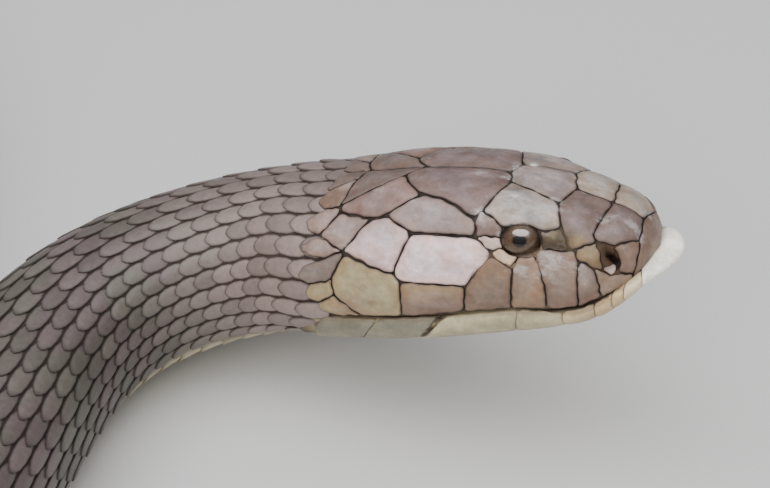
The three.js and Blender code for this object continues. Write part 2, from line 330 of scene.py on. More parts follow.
def only(piece):
    deselect()
    piece.select_set(True)
    bpy.context.view_layer.objects.active = piece


def places(piece):
    co = np.empty(len(piece.data.vertices) * 3)
    piece.data.vertices.foreach_get("co", co)
    return co.reshape(-1, 3)


def put(piece, co):
    piece.data.vertices.foreach_set("co", np.asarray(co, np.float32).ravel())
    piece.data.update()


def note(piece, name, values):
    """A number for each vertex, which the finishes read."""
    if name not in piece.data.attributes:
        piece.data.attributes.new(name, "FLOAT", "POINT")
    piece.data.attributes[name].data.foreach_set("value", np.asarray(values, np.float32))


def noted(piece, name):
    values = np.empty(len(piece.data.vertices), np.float32)
    piece.data.attributes[name].data.foreach_get("value", values)
    return values


def pick(piece, kind, chosen):
    """Opens a piece in edit mode with the chosen ones of its vertices, edges or faces selected."""
    only(piece)
    bpy.ops.object.mode_set(mode="EDIT")
    bpy.ops.mesh.select_mode(type=kind)
    bpy.ops.mesh.select_all(action="DESELECT")
    bpy.ops.object.mode_set(mode="OBJECT")
    mesh = piece.data
    elements = {"VERT": mesh.vertices, "EDGE": mesh.edges, "FACE": mesh.polygons}[kind]
    elements.foreach_set("select", chosen)
    bpy.ops.object.mode_set(mode="EDIT")


def stop_editing():
    bpy.ops.object.mode_set(mode="OBJECT")


def face_values(piece, key, count=3):
    """A number, or three, for each face of a piece, such as its normal."""
    values = np.empty(len(piece.data.polygons) * count)
    piece.data.polygons.foreach_get(key, values)
    return values.reshape(-1, count)


def turn_outwards(piece, copies=1):
    """Turns round the faces of each closed copy that laying it out has mirrored."""
    centre = face_values(piece, "center").reshape(copies, -1, 3)
    normal = face_values(piece, "normal").reshape(copies, -1, 3)
    area = face_values(piece, "area", 1).reshape(copies, -1)
    outward = ((centre - centre.mean(1, keepdims=True)) * normal).sum(2)
    mirrored = (outward * area).sum(1) < 0
    pick(piece, "FACE", np.repeat(mirrored, area.shape[1]))
    bpy.ops.mesh.flip_normals()
    stop_editing()


def smooth(piece, angle=None):
    only(piece)
    if angle is None:
        bpy.ops.object.shade_smooth()
    else:
        bpy.ops.object.shade_smooth_by_angle(angle=radians(angle))


def copy_of(piece, name):
    twin = piece.copy()
    twin.data = piece.data.copy()
    twin.name = name
    twin.data.name = name
    bpy.context.collection.objects.link(twin)
    return twin


def join(name, pieces):
    only(pieces[0])
    for piece in pieces:
        piece.select_set(True)
    bpy.ops.object.join()
    made = bpy.context.object
    made.name = name
    made.data.name = name
    return made


def dress(piece, finish):
    piece.data.materials.clear()
    piece.data.materials.append(finish)
    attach(piece, "root")


def map_corners(piece, corner_uv):
    """The map that the finish is baked through, by face corners."""
    layer = piece.data.uv_layers.get("OFBake") or piece.data.uv_layers.new(name="OFBake")
    layer.data.foreach_set("uv", np.clip(corner_uv, 0.001, 0.999).astype(np.float32).ravel())


def corner_vertices(piece):
    index = np.empty(len(piece.data.loops), np.int64)
    piece.data.loops.foreach_get("vertex_index", index)
    return index


def corner_faces(piece):
    sizes = np.empty(len(piece.data.polygons), np.int64)
    piece.data.polygons.foreach_get("loop_total", sizes)
    return np.repeat(np.arange(len(sizes)), sizes)


# The skin: a rolled sheet from snout to tail tip, joined with another for the lower jaw

# Degrees between two faces up to which the edge between them is shaded smooth
SKIN_CREASE = 50
SHIELD_CREASE = 55
SCALE_CREASE = 60
PLATE_CREASE = 40

SKIN_AROUND = 72
JAW_SKIN_AROUND = 48
MENTAL_DEPTH = 0.9  # how much deeper the skin lies at the jaw's tip
JAW_SKIN_EASE = (84, 100)  # where the lower jaw's pale skin gives way to the throat's
TIP_REACH = 0.4  # from a sheet's last row to the point that closes it
EYE_SOCKET_WALL = (3.8, 5.3)  # mm from the middle over which it rises to the rim
EYE_SOCKET_DEPTH = 3.0
NOSTRIL = (11.4, 61)
NOSTRIL_REACH = (1.7, 13)  # along in mm and round in degrees
NOSTRIL_BOWL = 0.9
NOSTRIL_HOLE = (11.2, 57)
NOSTRIL_HOLE_REACH = (0.8, 7.5)
NOSTRIL_HOLE_SLANT = 0.1  # mm forward for each degree down
NOSTRIL_SLIT = (10.35, 67)  # beside the flap, a gap painted dark as shade
NOSTRIL_SLIT_REACH = (0.6, 8)
NOSTRIL_DEPTH = 3.2
LID_START = (1, 3)  # mm below the eye's middle over which the pale lid comes in
LID_END = (5.6, 6.6)  # mm from the eye's middle over which it goes out
MOUTH_START = (-1.5, -0.8)  # the same for the painted shade in the gap, in mm below the upper lip's edge
MOUTH_END = (0.9, 1.8)
LIP_FOLD = ((57.4, 84.5), (75, 127))  # station and clock of its ends on the jaw
FOLD_REACH = 1.6  # how far from its line the fold's painted shade reaches on the shields
SKIN_FOLD_REACH = 3.2  # the same for the fold's painted shade on the skin between them
FOLD_POINTS = 40
STRAIGHT_END = 100  # up to here the body line is as good as straight
ROUND_HEAD = 40  # a reach to each side that takes in the head and no other turn of the coil


def coat_depth(station):
    return SHIELD_DEPTH + (SCALE_DEPTH - SHIELD_DEPTH) * ease(*COAT_EASE, station)


def from_spot(station, clock, spot, reach):
    """How far a place is from a spot, as a share of the spot's reach along and round."""
    return np.hypot((station - spot[0]) / reach[0], (np.abs(clock) - spot[1]) / reach[1])


def from_hole(station, clock):
    down = np.abs(clock) - NOSTRIL_HOLE[1]
    return np.hypot((station - NOSTRIL_HOLE[0] + NOSTRIL_HOLE_SLANT * down) / NOSTRIL_HOLE_REACH[0],
                    down / NOSTRIL_HOLE_REACH[1])


def dimples(station, clock):
    """How far the skin sinks under the eyes and into the nostrils."""
    clock = np.abs(clock)
    from_eye = np.hypot(station - EYE_STATION, (clock - EYE_CLOCK) * EYE_DEGREE)
    socket = EYE_SOCKET_DEPTH * (1 - ease(*EYE_SOCKET_WALL, from_eye))
    from_nostril = from_spot(station, clock, NOSTRIL, NOSTRIL_REACH)
    bowl = NOSTRIL_BOWL * (1 - ease(0.5, 1.2, from_nostril))
    return socket + bowl + NOSTRIL_DEPTH * (1 - ease(0.6, 1.25, from_hole(station, clock)))


def rolled_sheet(name, form, stations, around):
    """A grid rolled round a form. Its last row is drawn together into a point."""
    rows = len(stations)
    bpy.ops.mesh.primitive_grid_add(x_subdivisions=around, y_subdivisions=rows - 1, size=1)
    sheet = bpy.context.object
    sheet.name = name
    flat = places(sheet)
    column = np.round((flat[:, 0] + 0.5) * around).astype(int) % around
    row = np.round((flat[:, 1] + 0.5) * (rows - 1)).astype(int)
    station = np.asarray(stations)[row]
    clock = column * 360 / around - 180
    depth = coat_depth(station)
    depth += dimples(station, clock) if form is BODY else MENTAL_DEPTH * (1 - ease(3, 13, station))
    back, left, up = form.surface(station, clock, -depth)
    last = row == rows - 1
    back[last] = form.tip + stations[-1] + TIP_REACH
    left[last], up[last] = 0, form.middle(stations[-1])
    put(sheet, world(back, left, up, lowest=depth))
    note(sheet, "back", back)
    note(sheet, "clock", np.abs(clock))
    pick(sheet, "VERT", np.ones(len(back), bool))
    bpy.ops.mesh.remove_doubles(threshold=1e-6)
    bpy.ops.mesh.normals_make_consistent(inside=False)
    stop_editing()
    return sheet


def make_skin():
    fine_head = np.concatenate([[0], np.arange(0.8, 9, 0.8), np.arange(9.2, 14, 0.4),
                                np.arange(14.4, 40, 0.9), np.arange(40, 112, 1.6)])
    body = np.concatenate([np.arange(112, 300, 3.5), np.arange(303, 3960, 8),
                           np.arange(3964, 3999, 5), [3999]])
    skin = rolled_sheet("skin", BODY, np.concatenate([fine_head, body]), SKIN_AROUND)
    jaw_stations = np.concatenate([[0], np.arange(0.7, 12, 0.7),
                                   np.arange(12.5, JAW_END - JAW_TIP - 1, 1.6)])
    jaw = rolled_sheet("jaw_skin", JAW, jaw_stations, JAW_SKIN_AROUND)
    only(skin)
    union = skin.modifiers.new("jaw", "BOOLEAN")
    union.operation = "UNION"
    union.solver = "EXACT"
    union.object = jaw
    bpy.ops.object.modifier_apply(modifier="jaw")
    bpy.data.objects.remove(jaw)
    place_marks(skin)
    smooth(skin, SKIN_CREASE)
    return skin


def head_place(piece):
    """How far back, left and up a piece's vertices are on the straight head."""
    offset = places(piece) / MM - np.array([LINE[0][0], LINE[1][0], LINE[2][0]])
    back = -offset[:, 0] * np.cos(HEAD_PITCH) - offset[:, 2] * np.sin(HEAD_PITCH)
    up = -offset[:, 0] * np.sin(HEAD_PITCH) + offset[:, 2] * np.cos(HEAD_PITCH)
    return back, offset[:, 1], up


def lip_fold(back, left, up, reach):
    """How near a place is to the fold that slants down behind the lower lip, and narrows."""
    line = np.stack(JAW.surface(*np.linspace(*LIP_FOLD, FOLD_POINTS).T), -1)
    spots = np.stack([back, np.abs(left), up], -1)
    away = np.linalg.norm(spots[:, None] - line, axis=2)
    thinner = np.linspace(0, 0.9, FOLD_POINTS)
    return 1 - ease(0.2 * reach, reach, (away + thinner).min(1))


def place_marks(skin):
    """Where each vertex lies on the animal. Those of the straight head are found afresh,
    because joining the jaw made new ones."""
    back, left, up = head_place(skin)
    kept_back = noted(skin, "back")
    kept_clock = noted(skin, "clock")
    straight = (back < STRAIGHT_END) & (np.abs(left) < ROUND_HEAD) & (kept_back < STRAIGHT_END + 20)
    clock = np.degrees(np.arctan2(np.abs(left), up - lip_rise(back)))
    under = up < mouth_line(np.maximum(back, 0)) - 0.3
    at_tip = (up < jaw_top_level(back) + 0.5) & (under | (back < 0.3))
    under = np.where(back < 2, at_tip, under)
    back_mark = np.where(straight, back, kept_back)
    note(skin, "back", back_mark)
    note(skin, "clock", np.where(straight, clock, kept_clock))
    jaw_share = under * (1 - ease(*JAW_SKIN_EASE, back_mark))
    note(skin, "jaw", np.where(straight, jaw_share, 0))
    # Painted shade on the skin, near black: the gap under the upper lip's edge and the fold behind
    # the lower lip
    below_lip = upper_lip(back) - up
    in_gap = ease(*MOUTH_START, below_lip) * (1 - ease(*MOUTH_END, below_lip))
    dark = np.maximum(in_gap, lip_fold(back, left, up, SKIN_FOLD_REACH))
    note(skin, "mouth", straight * dark)
    station, round_to = BODY.locate(back, left, up)
    below_eye = (np.abs(round_to) - EYE_CLOCK) * EYE_DEGREE
    from_eye = np.hypot(station - EYE_STATION, below_eye)
    lid = ease(*LID_START, below_eye) * (1 - ease(*LID_END, from_eye))
    note(skin, "lid", straight * lid)
    # The nostril: a brown bowl, partly its own tone and partly painted shade, and painted shade,
    # near black, in the hole and the slit beside the flap
    from_nostril = from_spot(station, round_to, NOSTRIL, NOSTRIL_REACH)
    rim = 0.5 * (1 - ease(0.9, 1.6, from_nostril))
    from_slit = from_spot(station, round_to, NOSTRIL_SLIT, NOSTRIL_SLIT_REACH)
    hole = np.minimum(from_hole(station, round_to) / 0.9, from_slit)
    note(skin, "nostril", straight * (rim + 0.5 * (1 - ease(0.7, 1.5, hole))))
    turns = np.where(straight, clock, kept_clock) * np.where(left < 0, -1, 1)
    lay_ribbon(skin, back_mark, turns)


RIBBONS = 11
MAP_MARGIN = 0.02
RIBBON_MARGIN = 0.05


def lay_ribbon(skin, back, turn):
    """The skin's own unwrap: lengths of the body side by side."""
    vertex, face = corner_vertices(skin), corner_faces(skin)
    count = np.maximum(np.bincount(face), 1)
    middle = np.bincount(face, back[vertex]) / count
    step = LENGTH / RIBBONS
    ribbon = np.clip(np.floor(middle / step), 0, RIBBONS - 1)[face]
    span = (back[vertex] - ribbon * step) / step
    angle = np.abs(turn[vertex]) / 180
    across = RIBBON_MARGIN + (1 - 2 * RIBBON_MARGIN) * np.clip(angle, 0, 1)
    along = MAP_MARGIN + (1 - 2 * MAP_MARGIN) * span
    map_corners(skin, np.stack([along, (ribbon + across) / RIBBONS], -1))


# The head's shields. Their corners are (station, clock) on the animal's right side, where the
# photo shows them, and each is shared by the shields that meet there.

CORNERS = {
    "rostral_top": (6.5, 0), "rostral_edge": (6.5, 47), "rostral_lip": (8, 87), "lip_0": (8.2, 93),
    "nose_mid": (12.3, 0), "nose_side": (12.9, 26), "nose_low": (13.5, 39),
    "nostril_rear_top": (13, 44.5), "nostril_top": (10.9, 50), "prenasal_top": (9.3, 48),
    "nostril_front": (10.1, 64), "nostril_floor": (10.2, 75), "nostril_bottom": (11.5, 73.5),
    "nostril_rear_bottom": (12.3, 66.5), "lip_1_top": (13.3, 63), "lip_1_bend": (13, 72),
    "lip_1": (12.9, 89.5), "postnasal_front": (12.4, 56), "postnasal_low": (13.9, 60),
    "postnasal_rear": (16, 56.4), "postnasal_top": (17, 49.5), "lip_2": (17.6, 92),
    "loreal": (18, 50), "preocular_low": (24.4, 49), "eye_front_low": (24.9, 48),
    "eye_front_top": (25.1, 39.4), "eye_top": (29.9, 37.3), "eye_rear_top": (34, 39.3),
    "eye_rear": (34.8, 43), "eye_rear_low": (34.2, 48.8), "eye_low_rear": (30.6, 52.4),
    "eye_low_front": (26.4, 51.9), "lip_3_top": (25.4, 62), "lip_3_mid": (24.7, 73.5),
    "lip_3": (25.3, 89), "lip_4_top": (32.2, 59), "lip_4": (34.5, 86),
    "postocular_tip": (35, 56.6), "temple_front": (37.3, 52.2), "postocular_2_out": (37.5, 50.4),
    "postocular_1_out": (41, 44.2), "postocular_1_top": (41.3, 35.8), "brow_rear": (39.5, 31.2),
    "brow_front": (19.8, 37), "frontal_front": (22.2, 18.6), "frontal_rear": (35.3, 9.5),
    "frontal_tip": (36.8, 0), "frontal_nose": (19.9, 0), "parietal_1": (45.5, 31.5),
    "parietal_2": (50.4, 26.5), "parietal_3": (57.3, 23.8), "parietal_4": (61.2, 18),
    "parietal_5": (64.9, 9), "parietal_rear": (60.7, 0), "temple_low": (58, 43.8),
    "temple_rear": (66.2, 35.6), "cheek_front": (45, 70), "lip_5": (46.9, 87),
    "cheek_rear": (63.5, 63.2), "lip_6_top": (62, 67.7), "lip_6": (63.8, 89.5),
    "nape_front": (70, 37.3), "nape_low": (65.9, 63), "nape_rear": (78, 53),
    "upper_rear": (80.5, 29.6), "upper_low": (79.8, 33), "side_rear": (85.4, 45.2),
    "lip_7_front": (77.7, 54.5), "lip_7_mid": (82, 67.7), "lip_7_rear": (81.8, 76.5),
    "lip_7": (75.5, 89), "occipital_rear": (79.1, 8.7), "occipital_mid": (77.5, 0),
    "rear_1": (86, 58), "rear_2": (93, 51.5), "rear_3": (92.5, 62), "rear_4": (91.5, 72),
    "rear_5": (89.5, 83), "rear_6": (84, 90), "rear_7": (92, 41), "rear_8": (88, 31),
    "rear_9": (88.5, 20), "rear_10": (86, 9), "rear_11": (87, 0),
}

# Each shield by its corners in order, with its tone, as lower/upper where it changes; on some, such
# as the postnasal and preocular, the paler top is partly painted highlight. A second tone is the
# left side's.
SHIELDS = {
    "internasal": ("nose_mid rostral_top rostral_edge prenasal_top nostril_top nostril_rear_top "
                   "nose_low nose_side", "stone haze"),
    "prefrontal": ("frontal_nose nose_mid nose_side nose_low nostril_rear_top postnasal_top "
                   "loreal brow_front frontal_front", "stone haze"),
    "prenasal": ("prenasal_top rostral_edge rostral_lip nostril_floor nostril_front nostril_top",
                 "taupe"),
    "postnasal": ("postnasal_top nostril_rear_top postnasal_front nostril_rear_bottom "
                  "lip_1_top postnasal_low postnasal_rear", "sand/straw"),
    "labial_1": ("rostral_lip lip_0 lip_1 lip_1_bend lip_1_top nostril_rear_bottom "
                 "nostril_bottom nostril_floor", "buff"),
    "labial_2": ("postnasal_rear postnasal_low lip_1_top lip_1_bend lip_1 lip_2", "taupe/smoke"),
    "labial_3": ("loreal postnasal_top postnasal_rear lip_2 lip_3 lip_3_mid lip_3_top "
                 "eye_low_front eye_front_low preocular_low", "taupe/fawn"),
    "labial_4": ("eye_low_front lip_3_top lip_3_mid lip_3 lip_4 lip_4_top eye_low_rear",
                 "peach/rosy"),
    "labial_5": ("lip_4_top lip_4 lip_5 cheek_front temple_front postocular_tip", "umber/peach"),
    "labial_6": ("cheek_front lip_5 lip_6 lip_6_top", "taupe/tan"),
    "labial_7": ("lip_7_front nape_low cheek_rear lip_6_top lip_6 lip_7 lip_7_rear lip_7_mid",
                 "olive"),
    "preocular": ("eye_front_top brow_front loreal preocular_low eye_front_low", "dark/khaki"),
    "supraocular": ("eye_front_top eye_top eye_rear_top brow_rear frontal_rear "
                    "frontal_front brow_front", "pale ash"),
    "postocular_1": ("eye_rear_top brow_rear postocular_1_top postocular_1_out eye_rear",
                     "mauve/ash"),
    "postocular_2": ("eye_rear postocular_1_out postocular_2_out eye_rear_low", "bright"),
    "postocular_3": ("eye_rear_low postocular_2_out temple_front postocular_tip lip_4_top "
                     "eye_low_rear", "cheek"),
    "parietal": ("frontal_tip frontal_rear brow_rear postocular_1_top parietal_1 parietal_2 "
                 "parietal_3 parietal_4 parietal_5 parietal_rear", "mauve"),
    "temporal_upper": ("postocular_1_top postocular_1_out temple_low temple_rear parietal_3 "
                       "parietal_2 parietal_1", "rose"),
    "temporal_lower": ("postocular_1_out postocular_2_out temple_front cheek_front lip_6_top "
                       "cheek_rear temple_low", "pearl"),
    "temporal_rear": ("parietal_3 temple_rear nape_front upper_low upper_rear parietal_5 "
                      "parietal_4", "plum"),
    "nape_side": ("nape_front temple_rear temple_low cheek_rear nape_low nape_rear", "lilac"),
    "nape_small": ("upper_low nape_front nape_rear side_rear", "dusk"),
    "occipital": ("parietal_rear parietal_5 upper_rear occipital_rear occipital_mid", "brown"),
    "rear_side_1": ("nape_rear rear_1 rear_2 side_rear", "dusk"),
    "rear_side_2": ("nape_rear lip_7_front lip_7_mid rear_4 rear_3 rear_1", "drab"),
    "rear_side_3": ("lip_7_mid lip_7_rear rear_5 rear_4", "olive cream"),
    "rear_side_4": ("lip_7_rear lip_7 rear_6 rear_5", "olive cream"),
    "rear_top_1": ("upper_rear upper_low side_rear rear_7 rear_8", "dusk"),
    "rear_top_2": ("occipital_rear upper_rear rear_8 rear_9", "taupe/dusk"),
    "rear_top_3": ("occipital_mid occipital_rear rear_9 rear_10 rear_11", "brown"),
}
# Shields across the middle line, by the corners of their right half
MIDDLE_SHIELDS = {
    "rostral": ("rostral_top rostral_edge rostral_lip lip_0", "taupe"),
    "frontal": ("frontal_tip frontal_rear frontal_front frontal_nose", "smoke"),
}
NOSTRIL_FLAP = {"rear": (12.3, 64.5), "top": (11.3, 63.7), "front_top": (10.55, 65.6),
                "front_low": (10.65, 72.6), "bottom": (11.1, 74.5), "rear_low": (11.9, 70)}
EYE_RIM = {name for name in CORNERS if name.startswith("eye_")}
UPPER_LIP = ("rostral_lip", "lip_1", "lip_2", "lip_3", "lip_4", "lip_5", "lip_6", "lip_7")

# The lower jaw's shields, by station back from its tip and clock angle
JAW_CORNERS = {
    "mental_top": (5.0, 0), "mental_cheek": (7.0, 50), "mental_lip": (9.4, 79.5),
    "mental_side": (10.2, 118), "mental_low": (11.6, 152), "mental_rear": (13, 180),
}
LOWER_LABIALS = (9.4, 11.6, 14.4, 19, 27, 38, 57.4, 76, 93)  # where they meet, from the jaw's tip
# The last two darken towards their top as painted shade under the upper lip's edge
LOWER_LABIAL_TONES = ("shell", "ivory", "ivory", "sallow", "cream", "cream", "moss/slate",
                      "moss/slate")
LOWER_LABIAL_LOW = 127  # clock angle of their lower edge
FIRST_LABIAL_DROP = 9  # degrees by which the first one's front corner is lower, by the mental
FOLD_WIDTH = 1.0  # left open in front of the shield behind the fold
lip_gap = through((8, 0.3), (14.4, 0.5), (19, 0.7), (27, 1.25), (38, 0.6), (60, 1.0), (90, 0.8))
# How far back a seam between two of them runs on its way down
labial_slant = through((7, 1.2), (27, 2.5), (38, 5), (57, 17), (76, 14), (95, 9))
CHIN_SHIELDS = (13, 29, 48)
CHIN_STEP = 6  # degrees by which the chin shields' outer edge falls at each corner

upper_lip_back, _, upper_lip_up = BODY.surface(*np.array([CORNERS[n] for n in UPPER_LIP]).T)
upper_lip = through((-6, upper_lip_up[0] + 0.8), *zip(upper_lip_back, upper_lip_up))

TONES = {  # the shields' colours
    "taupe": (0.185, 0.128, 0.098), "umber": (0.15, 0.105, 0.077), "stone": (0.155, 0.114, 0.104),
    "fawn": (0.225, 0.17, 0.142), "buff": (0.25, 0.19, 0.142), "bright": (0.54, 0.465, 0.42),
    "straw": (0.24, 0.18, 0.10), "ash": (0.3, 0.245, 0.225), "pale": (0.41, 0.36, 0.328),
    "cheek": (0.64, 0.49, 0.345), "peach": (0.22, 0.148, 0.1), "sand": (0.2, 0.145, 0.08),
    # pearl is paler than the shield's own tone, as painted sheen
    "olive": (0.33, 0.28, 0.165), "pearl": (0.71, 0.57, 0.575), "lilac": (0.53, 0.42, 0.42),
    "rose": (0.27, 0.22, 0.21), "mauve": (0.188, 0.138, 0.13), "dusk": (0.29, 0.23, 0.21),
    "drab": (0.2, 0.17, 0.155), "brown": (0.165, 0.124, 0.111), "dark": (0.05, 0.037, 0.022),
    "plum": (0.24, 0.165, 0.15), "moss": (0.27, 0.25, 0.17), "slate": (0.16, 0.15, 0.103),
    "khaki": (0.074, 0.056, 0.029), "haze": (0.37, 0.31, 0.26), "smoke": (0.27, 0.225, 0.21),
    "tan": (0.245, 0.178, 0.114), "cream": (0.37, 0.32, 0.2), "bone": (0.97, 0.93, 0.81),
    "shell": (0.66, 0.55, 0.36), "rosy": (0.36, 0.25, 0.18), "ivory": (0.53, 0.38, 0.2),
    "sallow": (0.45, 0.35, 0.2),
}

SHIELD_POINTS = 64  # round each shield's edge
SEAM = 0.12  # half of the dark line between two shields
EDGE_SPACING = 0.8  # between the points that a shield's edge is first drawn with
CORNER_SHARE = 0.36  # of an edge, the most that a rounded corner takes of it
SEAM_WIDTHS = (0.85, 0.75)  # a seam's usual width in seams, and how much that varies
INNER_REACH = 6  # mm from a shield's rim to where its middle's colour is reached, past the painted shade towards the rim
ROUNDING = 0.5  # of a shield's corners
REAR_ROUNDING = 2.6  # of the free corners at the back of the head
# The shield's profile from under the skin up over its rim: how far in from the edge, and rise
RIM = ((0, -1.1), (0, -0.5), (0.10, -0.24), (0.28, -0.10), (0.8, 0.0))
# Then, as shares of the way to the middle, and rise
CROWN = ((0.2, 0.08), (0.4, 0.14), (0.6, 0.19), (0.8, 0.22), (1.0, 0.23))
SMALL_SHIELD = 2.2  # from edge to middle, below which the rim narrows with the shield
DOMED_SHIELD = 4  # the same, below which the crown is lower
CREASE_SEAM = 1.4  # how many seam widths wider a seam is along a crease
LABIAL_SEAM = 0.05
MENTAL_SEAM = 0.1
CHIN_SEAM = 0.15
HEAD_MAP = 112  # mm of the head along the shields' map
TONE_CHANGE = (0.1, 0.7)  # the share of a shield's height over which its tone changes; on some shields that change is partly painted light and shade


def shield_blank():
    """A disc with rings, whose top is domed and whose bottom closes it."""
    bpy.ops.mesh.primitive_cylinder_add(vertices=SHIELD_POINTS, radius=1, depth=1,
                                        end_fill_type="NGON")
    blank = bpy.context.object
    rings = len(RIM) - 2 + len(CROWN) - 1
    for end, insets in ((1, rings), (-1, 0)):
        pick(blank, "FACE", face_values(blank, "normal")[:, 2] * end > 0.9)
        for _ in range(insets):
            bpy.ops.mesh.inset(thickness=0.8 / rings, use_even_offset=False)
        bpy.ops.mesh.poke()
        stop_editing()
    co = places(blank)
    turn = np.round(np.arctan2(co[:, 1], co[:, 0]) / (2 * pi) * SHIELD_POINTS).astype(int)
    radius = np.hypot(co[:, 0], co[:, 1])
    levels = np.unique(np.round(radius[co[:, 2] > 0], 3))[::-1]
    ring = 1 + np.argmin(np.abs(radius[:, None] - levels), 1)
    ring[(co[:, 2] < 0) & (radius > 0.5)] = 0
    ring[(co[:, 2] < 0) & (radius < 0.5)] = len(levels) + 1
    return blank, ring, turn % SHIELD_POINTS


def wobble(p):
    """A small unevenness of the seams, the same for both shields at a seam."""
    x, y, z = np.asarray(p).T * 0.9
    return 0.16 * np.stack([np.sin(1.3 * y + 2.1 * z) + np.sin(2.9 * z - 1.7 * y),
                            np.sin(1.7 * x - 1.1 * z) + np.sin(3.1 * x + 1.9 * z),
                            np.sin(1.5 * x + 1.4 * y) + np.sin(2.7 * y - 2.3 * x)], -1)


def rounded_outline(points, names, eye):
    """The closed line through a shield's corners, with the corners rounded."""
    line = []
    count = len(points)
    for i in range(count):
        a, b = points[i], points[(i + 1) % count]
        length = np.linalg.norm(b - a)
        first, last = (min(REAR_ROUNDING if name.startswith("rear_") else ROUNDING,
                           length * CORNER_SHARE) / length
                       for name in (names[i], names[(i + 1) % count]))
        share = np.linspace(first, 1 - last, max(3, int(length / EDGE_SPACING)))
        stretch = a + (b - a) * share[:, None]
        if eye is not None and names[i] in EYE_RIM and names[(i + 1) % count] in EYE_RIM:
            spoke = stretch - eye
            reach = (np.linalg.norm(a - eye) * (1 - share) + np.linalg.norm(b - eye) * share)
            stretch = eye + units(spoke) * reach[:, None]
        else:
            stretch = stretch + wobble(stretch)
        line.append(stretch)
    return np.concatenate(line)


def even(line, count):
    """The same closed line by evenly spaced points."""
    closed = np.vstack([line, line[:1]])
    run = np.concatenate([[0], np.cumsum(np.linalg.norm(np.diff(closed, axis=0), axis=1))])
    at = np.arange(count) * run[-1] / count
    return np.stack([np.interp(at, run, closed[:, k]) for k in range(3)], -1)


def units(vectors):
    return vectors / np.linalg.norm(vectors, axis=1)[:, None]


def relaxed(line, times):
    for _ in range(times):
        line = (np.roll(line, 1, 0) + 2 * line + np.roll(line, -1, 0)) / 4
    return line


CREASES = ("postocular_1_top parietal_1 parietal_2 parietal_3", "postocular_1_out temple_low",
           "temple_rear nape_front upper_low")


def crease(line):
    """How much wider the seam is at each place of a line: most along the creases."""
    line = line * (1, -1, 1) if line[:, 1].mean() > 0 else line
    wider = np.zeros(len(line))
    for names in CREASES:
        bends = np.array([CORNERS[name] for name in names.split()]) * (1, -1)
        bends = np.stack(BODY.surface(*bends.T), -1)
        for a, b in zip(bends, bends[1:]):
            share = np.clip((line - a) @ (b - a) / ((b - a) @ (b - a)), 0, 1)[:, None]
            away = np.linalg.norm(line - a - share * (b - a), axis=1)
            wider = np.maximum(wider, 1 - ease(0.6, 1.6, away))
    return wider


def make_shield(name, blank, form, corners, names=(), tone="taupe", seam=SEAM, rise=0.0,
                cap=False):
    """A shield over the stretch of a form between corners given by station and clock angle.
    One that is a cap goes all round the form's tip."""
    disc, ring, turn = blank
    names = names or ("",) * len(corners)
    points = np.stack(form.surface(*np.array(corners, float).T), -1)
    eye = None
    if any(n in EYE_RIM for n in names):
        side = np.sign(corners[0][1] + corners[1][1] + corners[2][1])
        eye = np.stack(form.surface([EYE_STATION], [side * EYE_CLOCK]), -1)[0]
    outline = relaxed(even(rounded_outline(points, names, eye), SHIELD_POINTS), 1)
    draped = np.stack(form.surface(*form.locate(*outline.T)), -1)
    centre = np.stack(form.surface(*form.locate(*outline.mean(0)[:, None])), -1)[0]
    along = np.roll(draped, -1, 0) - np.roll(draped, 1, 0)
    spot = form.locate(*draped.T)
    normal = np.stack(form.surface(*spot, 1.0), -1) - np.stack(form.surface(*spot), -1)
    inward = np.cross(normal, along)
    inward *= np.sign((inward * (centre - draped)).sum())
    inward = units(relaxed(units(inward), 2))
    room = np.linalg.norm(draped - centre, axis=1).min()
    tight = min(1, room / SMALL_SHIELD)
    uneven = np.sin(draped @ (0.9, 0.5, 0.7)) * np.sin(draped @ (-0.4, 0.8, 0.6))
    deep = CREASE_SEAM * crease(draped) if form is BODY else 0
    seam = (seam * (SEAM_WIDTHS[0] + SEAM_WIDTHS[1] * uneven + deep))[:, None]
    rings = [(draped + inward * (seam + inset * tight), level) for inset, level in RIM]
    last = rings[-1][0]
    on_rim = form.locate(*last.T)
    for share, level in CROWN:
        ring_line = last + (centre - last) * share
        if cap:
            ring_line = np.stack(form.surface(on_rim[0] * (1 - share), on_rim[1]), -1)
        rings.append((ring_line, level * min(1, room / DOMED_SHIELD)))
    rings.append((np.broadcast_to(centre, last.shape), RIM[0][1]))
    grid = np.stack([r for r, _ in rings])
    station, clock = form.locate(*grid.reshape(-1, 3).T)
    levels = np.repeat([level for _, level in rings], SHIELD_POINTS)
    solid = on(form, station, clock, levels + rise).reshape(len(rings), SHIELD_POINTS, 3)
    piece = copy_of(disc, name)
    put(piece, solid[ring, turn])
    turn_outwards(piece)
    back, clocks = (v.reshape(len(rings), SHIELD_POINTS)[ring, turn] for v in (station, clock))
    note(piece, "back", back + form.tip)
    note(piece, "clock", np.abs(clocks))
    note(piece, "turn", clocks)
    under = (ring == 0) | (ring == len(rings) - 1)
    note(piece, "rim", np.where(under, 0, np.clip((ring - 1) / (len(RIM) - 2), 0, 1)))
    note(piece, "under", ring == len(rings) - 1)
    past_rim = (ring - len(RIM) + 1) / len(CROWN) * room / INNER_REACH
    note(piece, "inner", np.where(under, 0, np.clip(past_rim, 0, 1)))
    note(piece, "luck", np.full(len(ring), rng.random()))
    # From the lower tone to the upper one: partly the shield's own tone, partly painted light and
    # shade
    low, high = TONES[tone.split("/")[0]], TONES[tone.split("/")[-1]]
    down = (np.abs(clocks) - np.abs(clocks).min()) / np.ptp(np.abs(clocks))
    for channel, below, above in zip("rgb", low, high):
        note(piece, "tone_" + channel, above + (below - above) * ease(*TONE_CHANGE, down))
    return piece


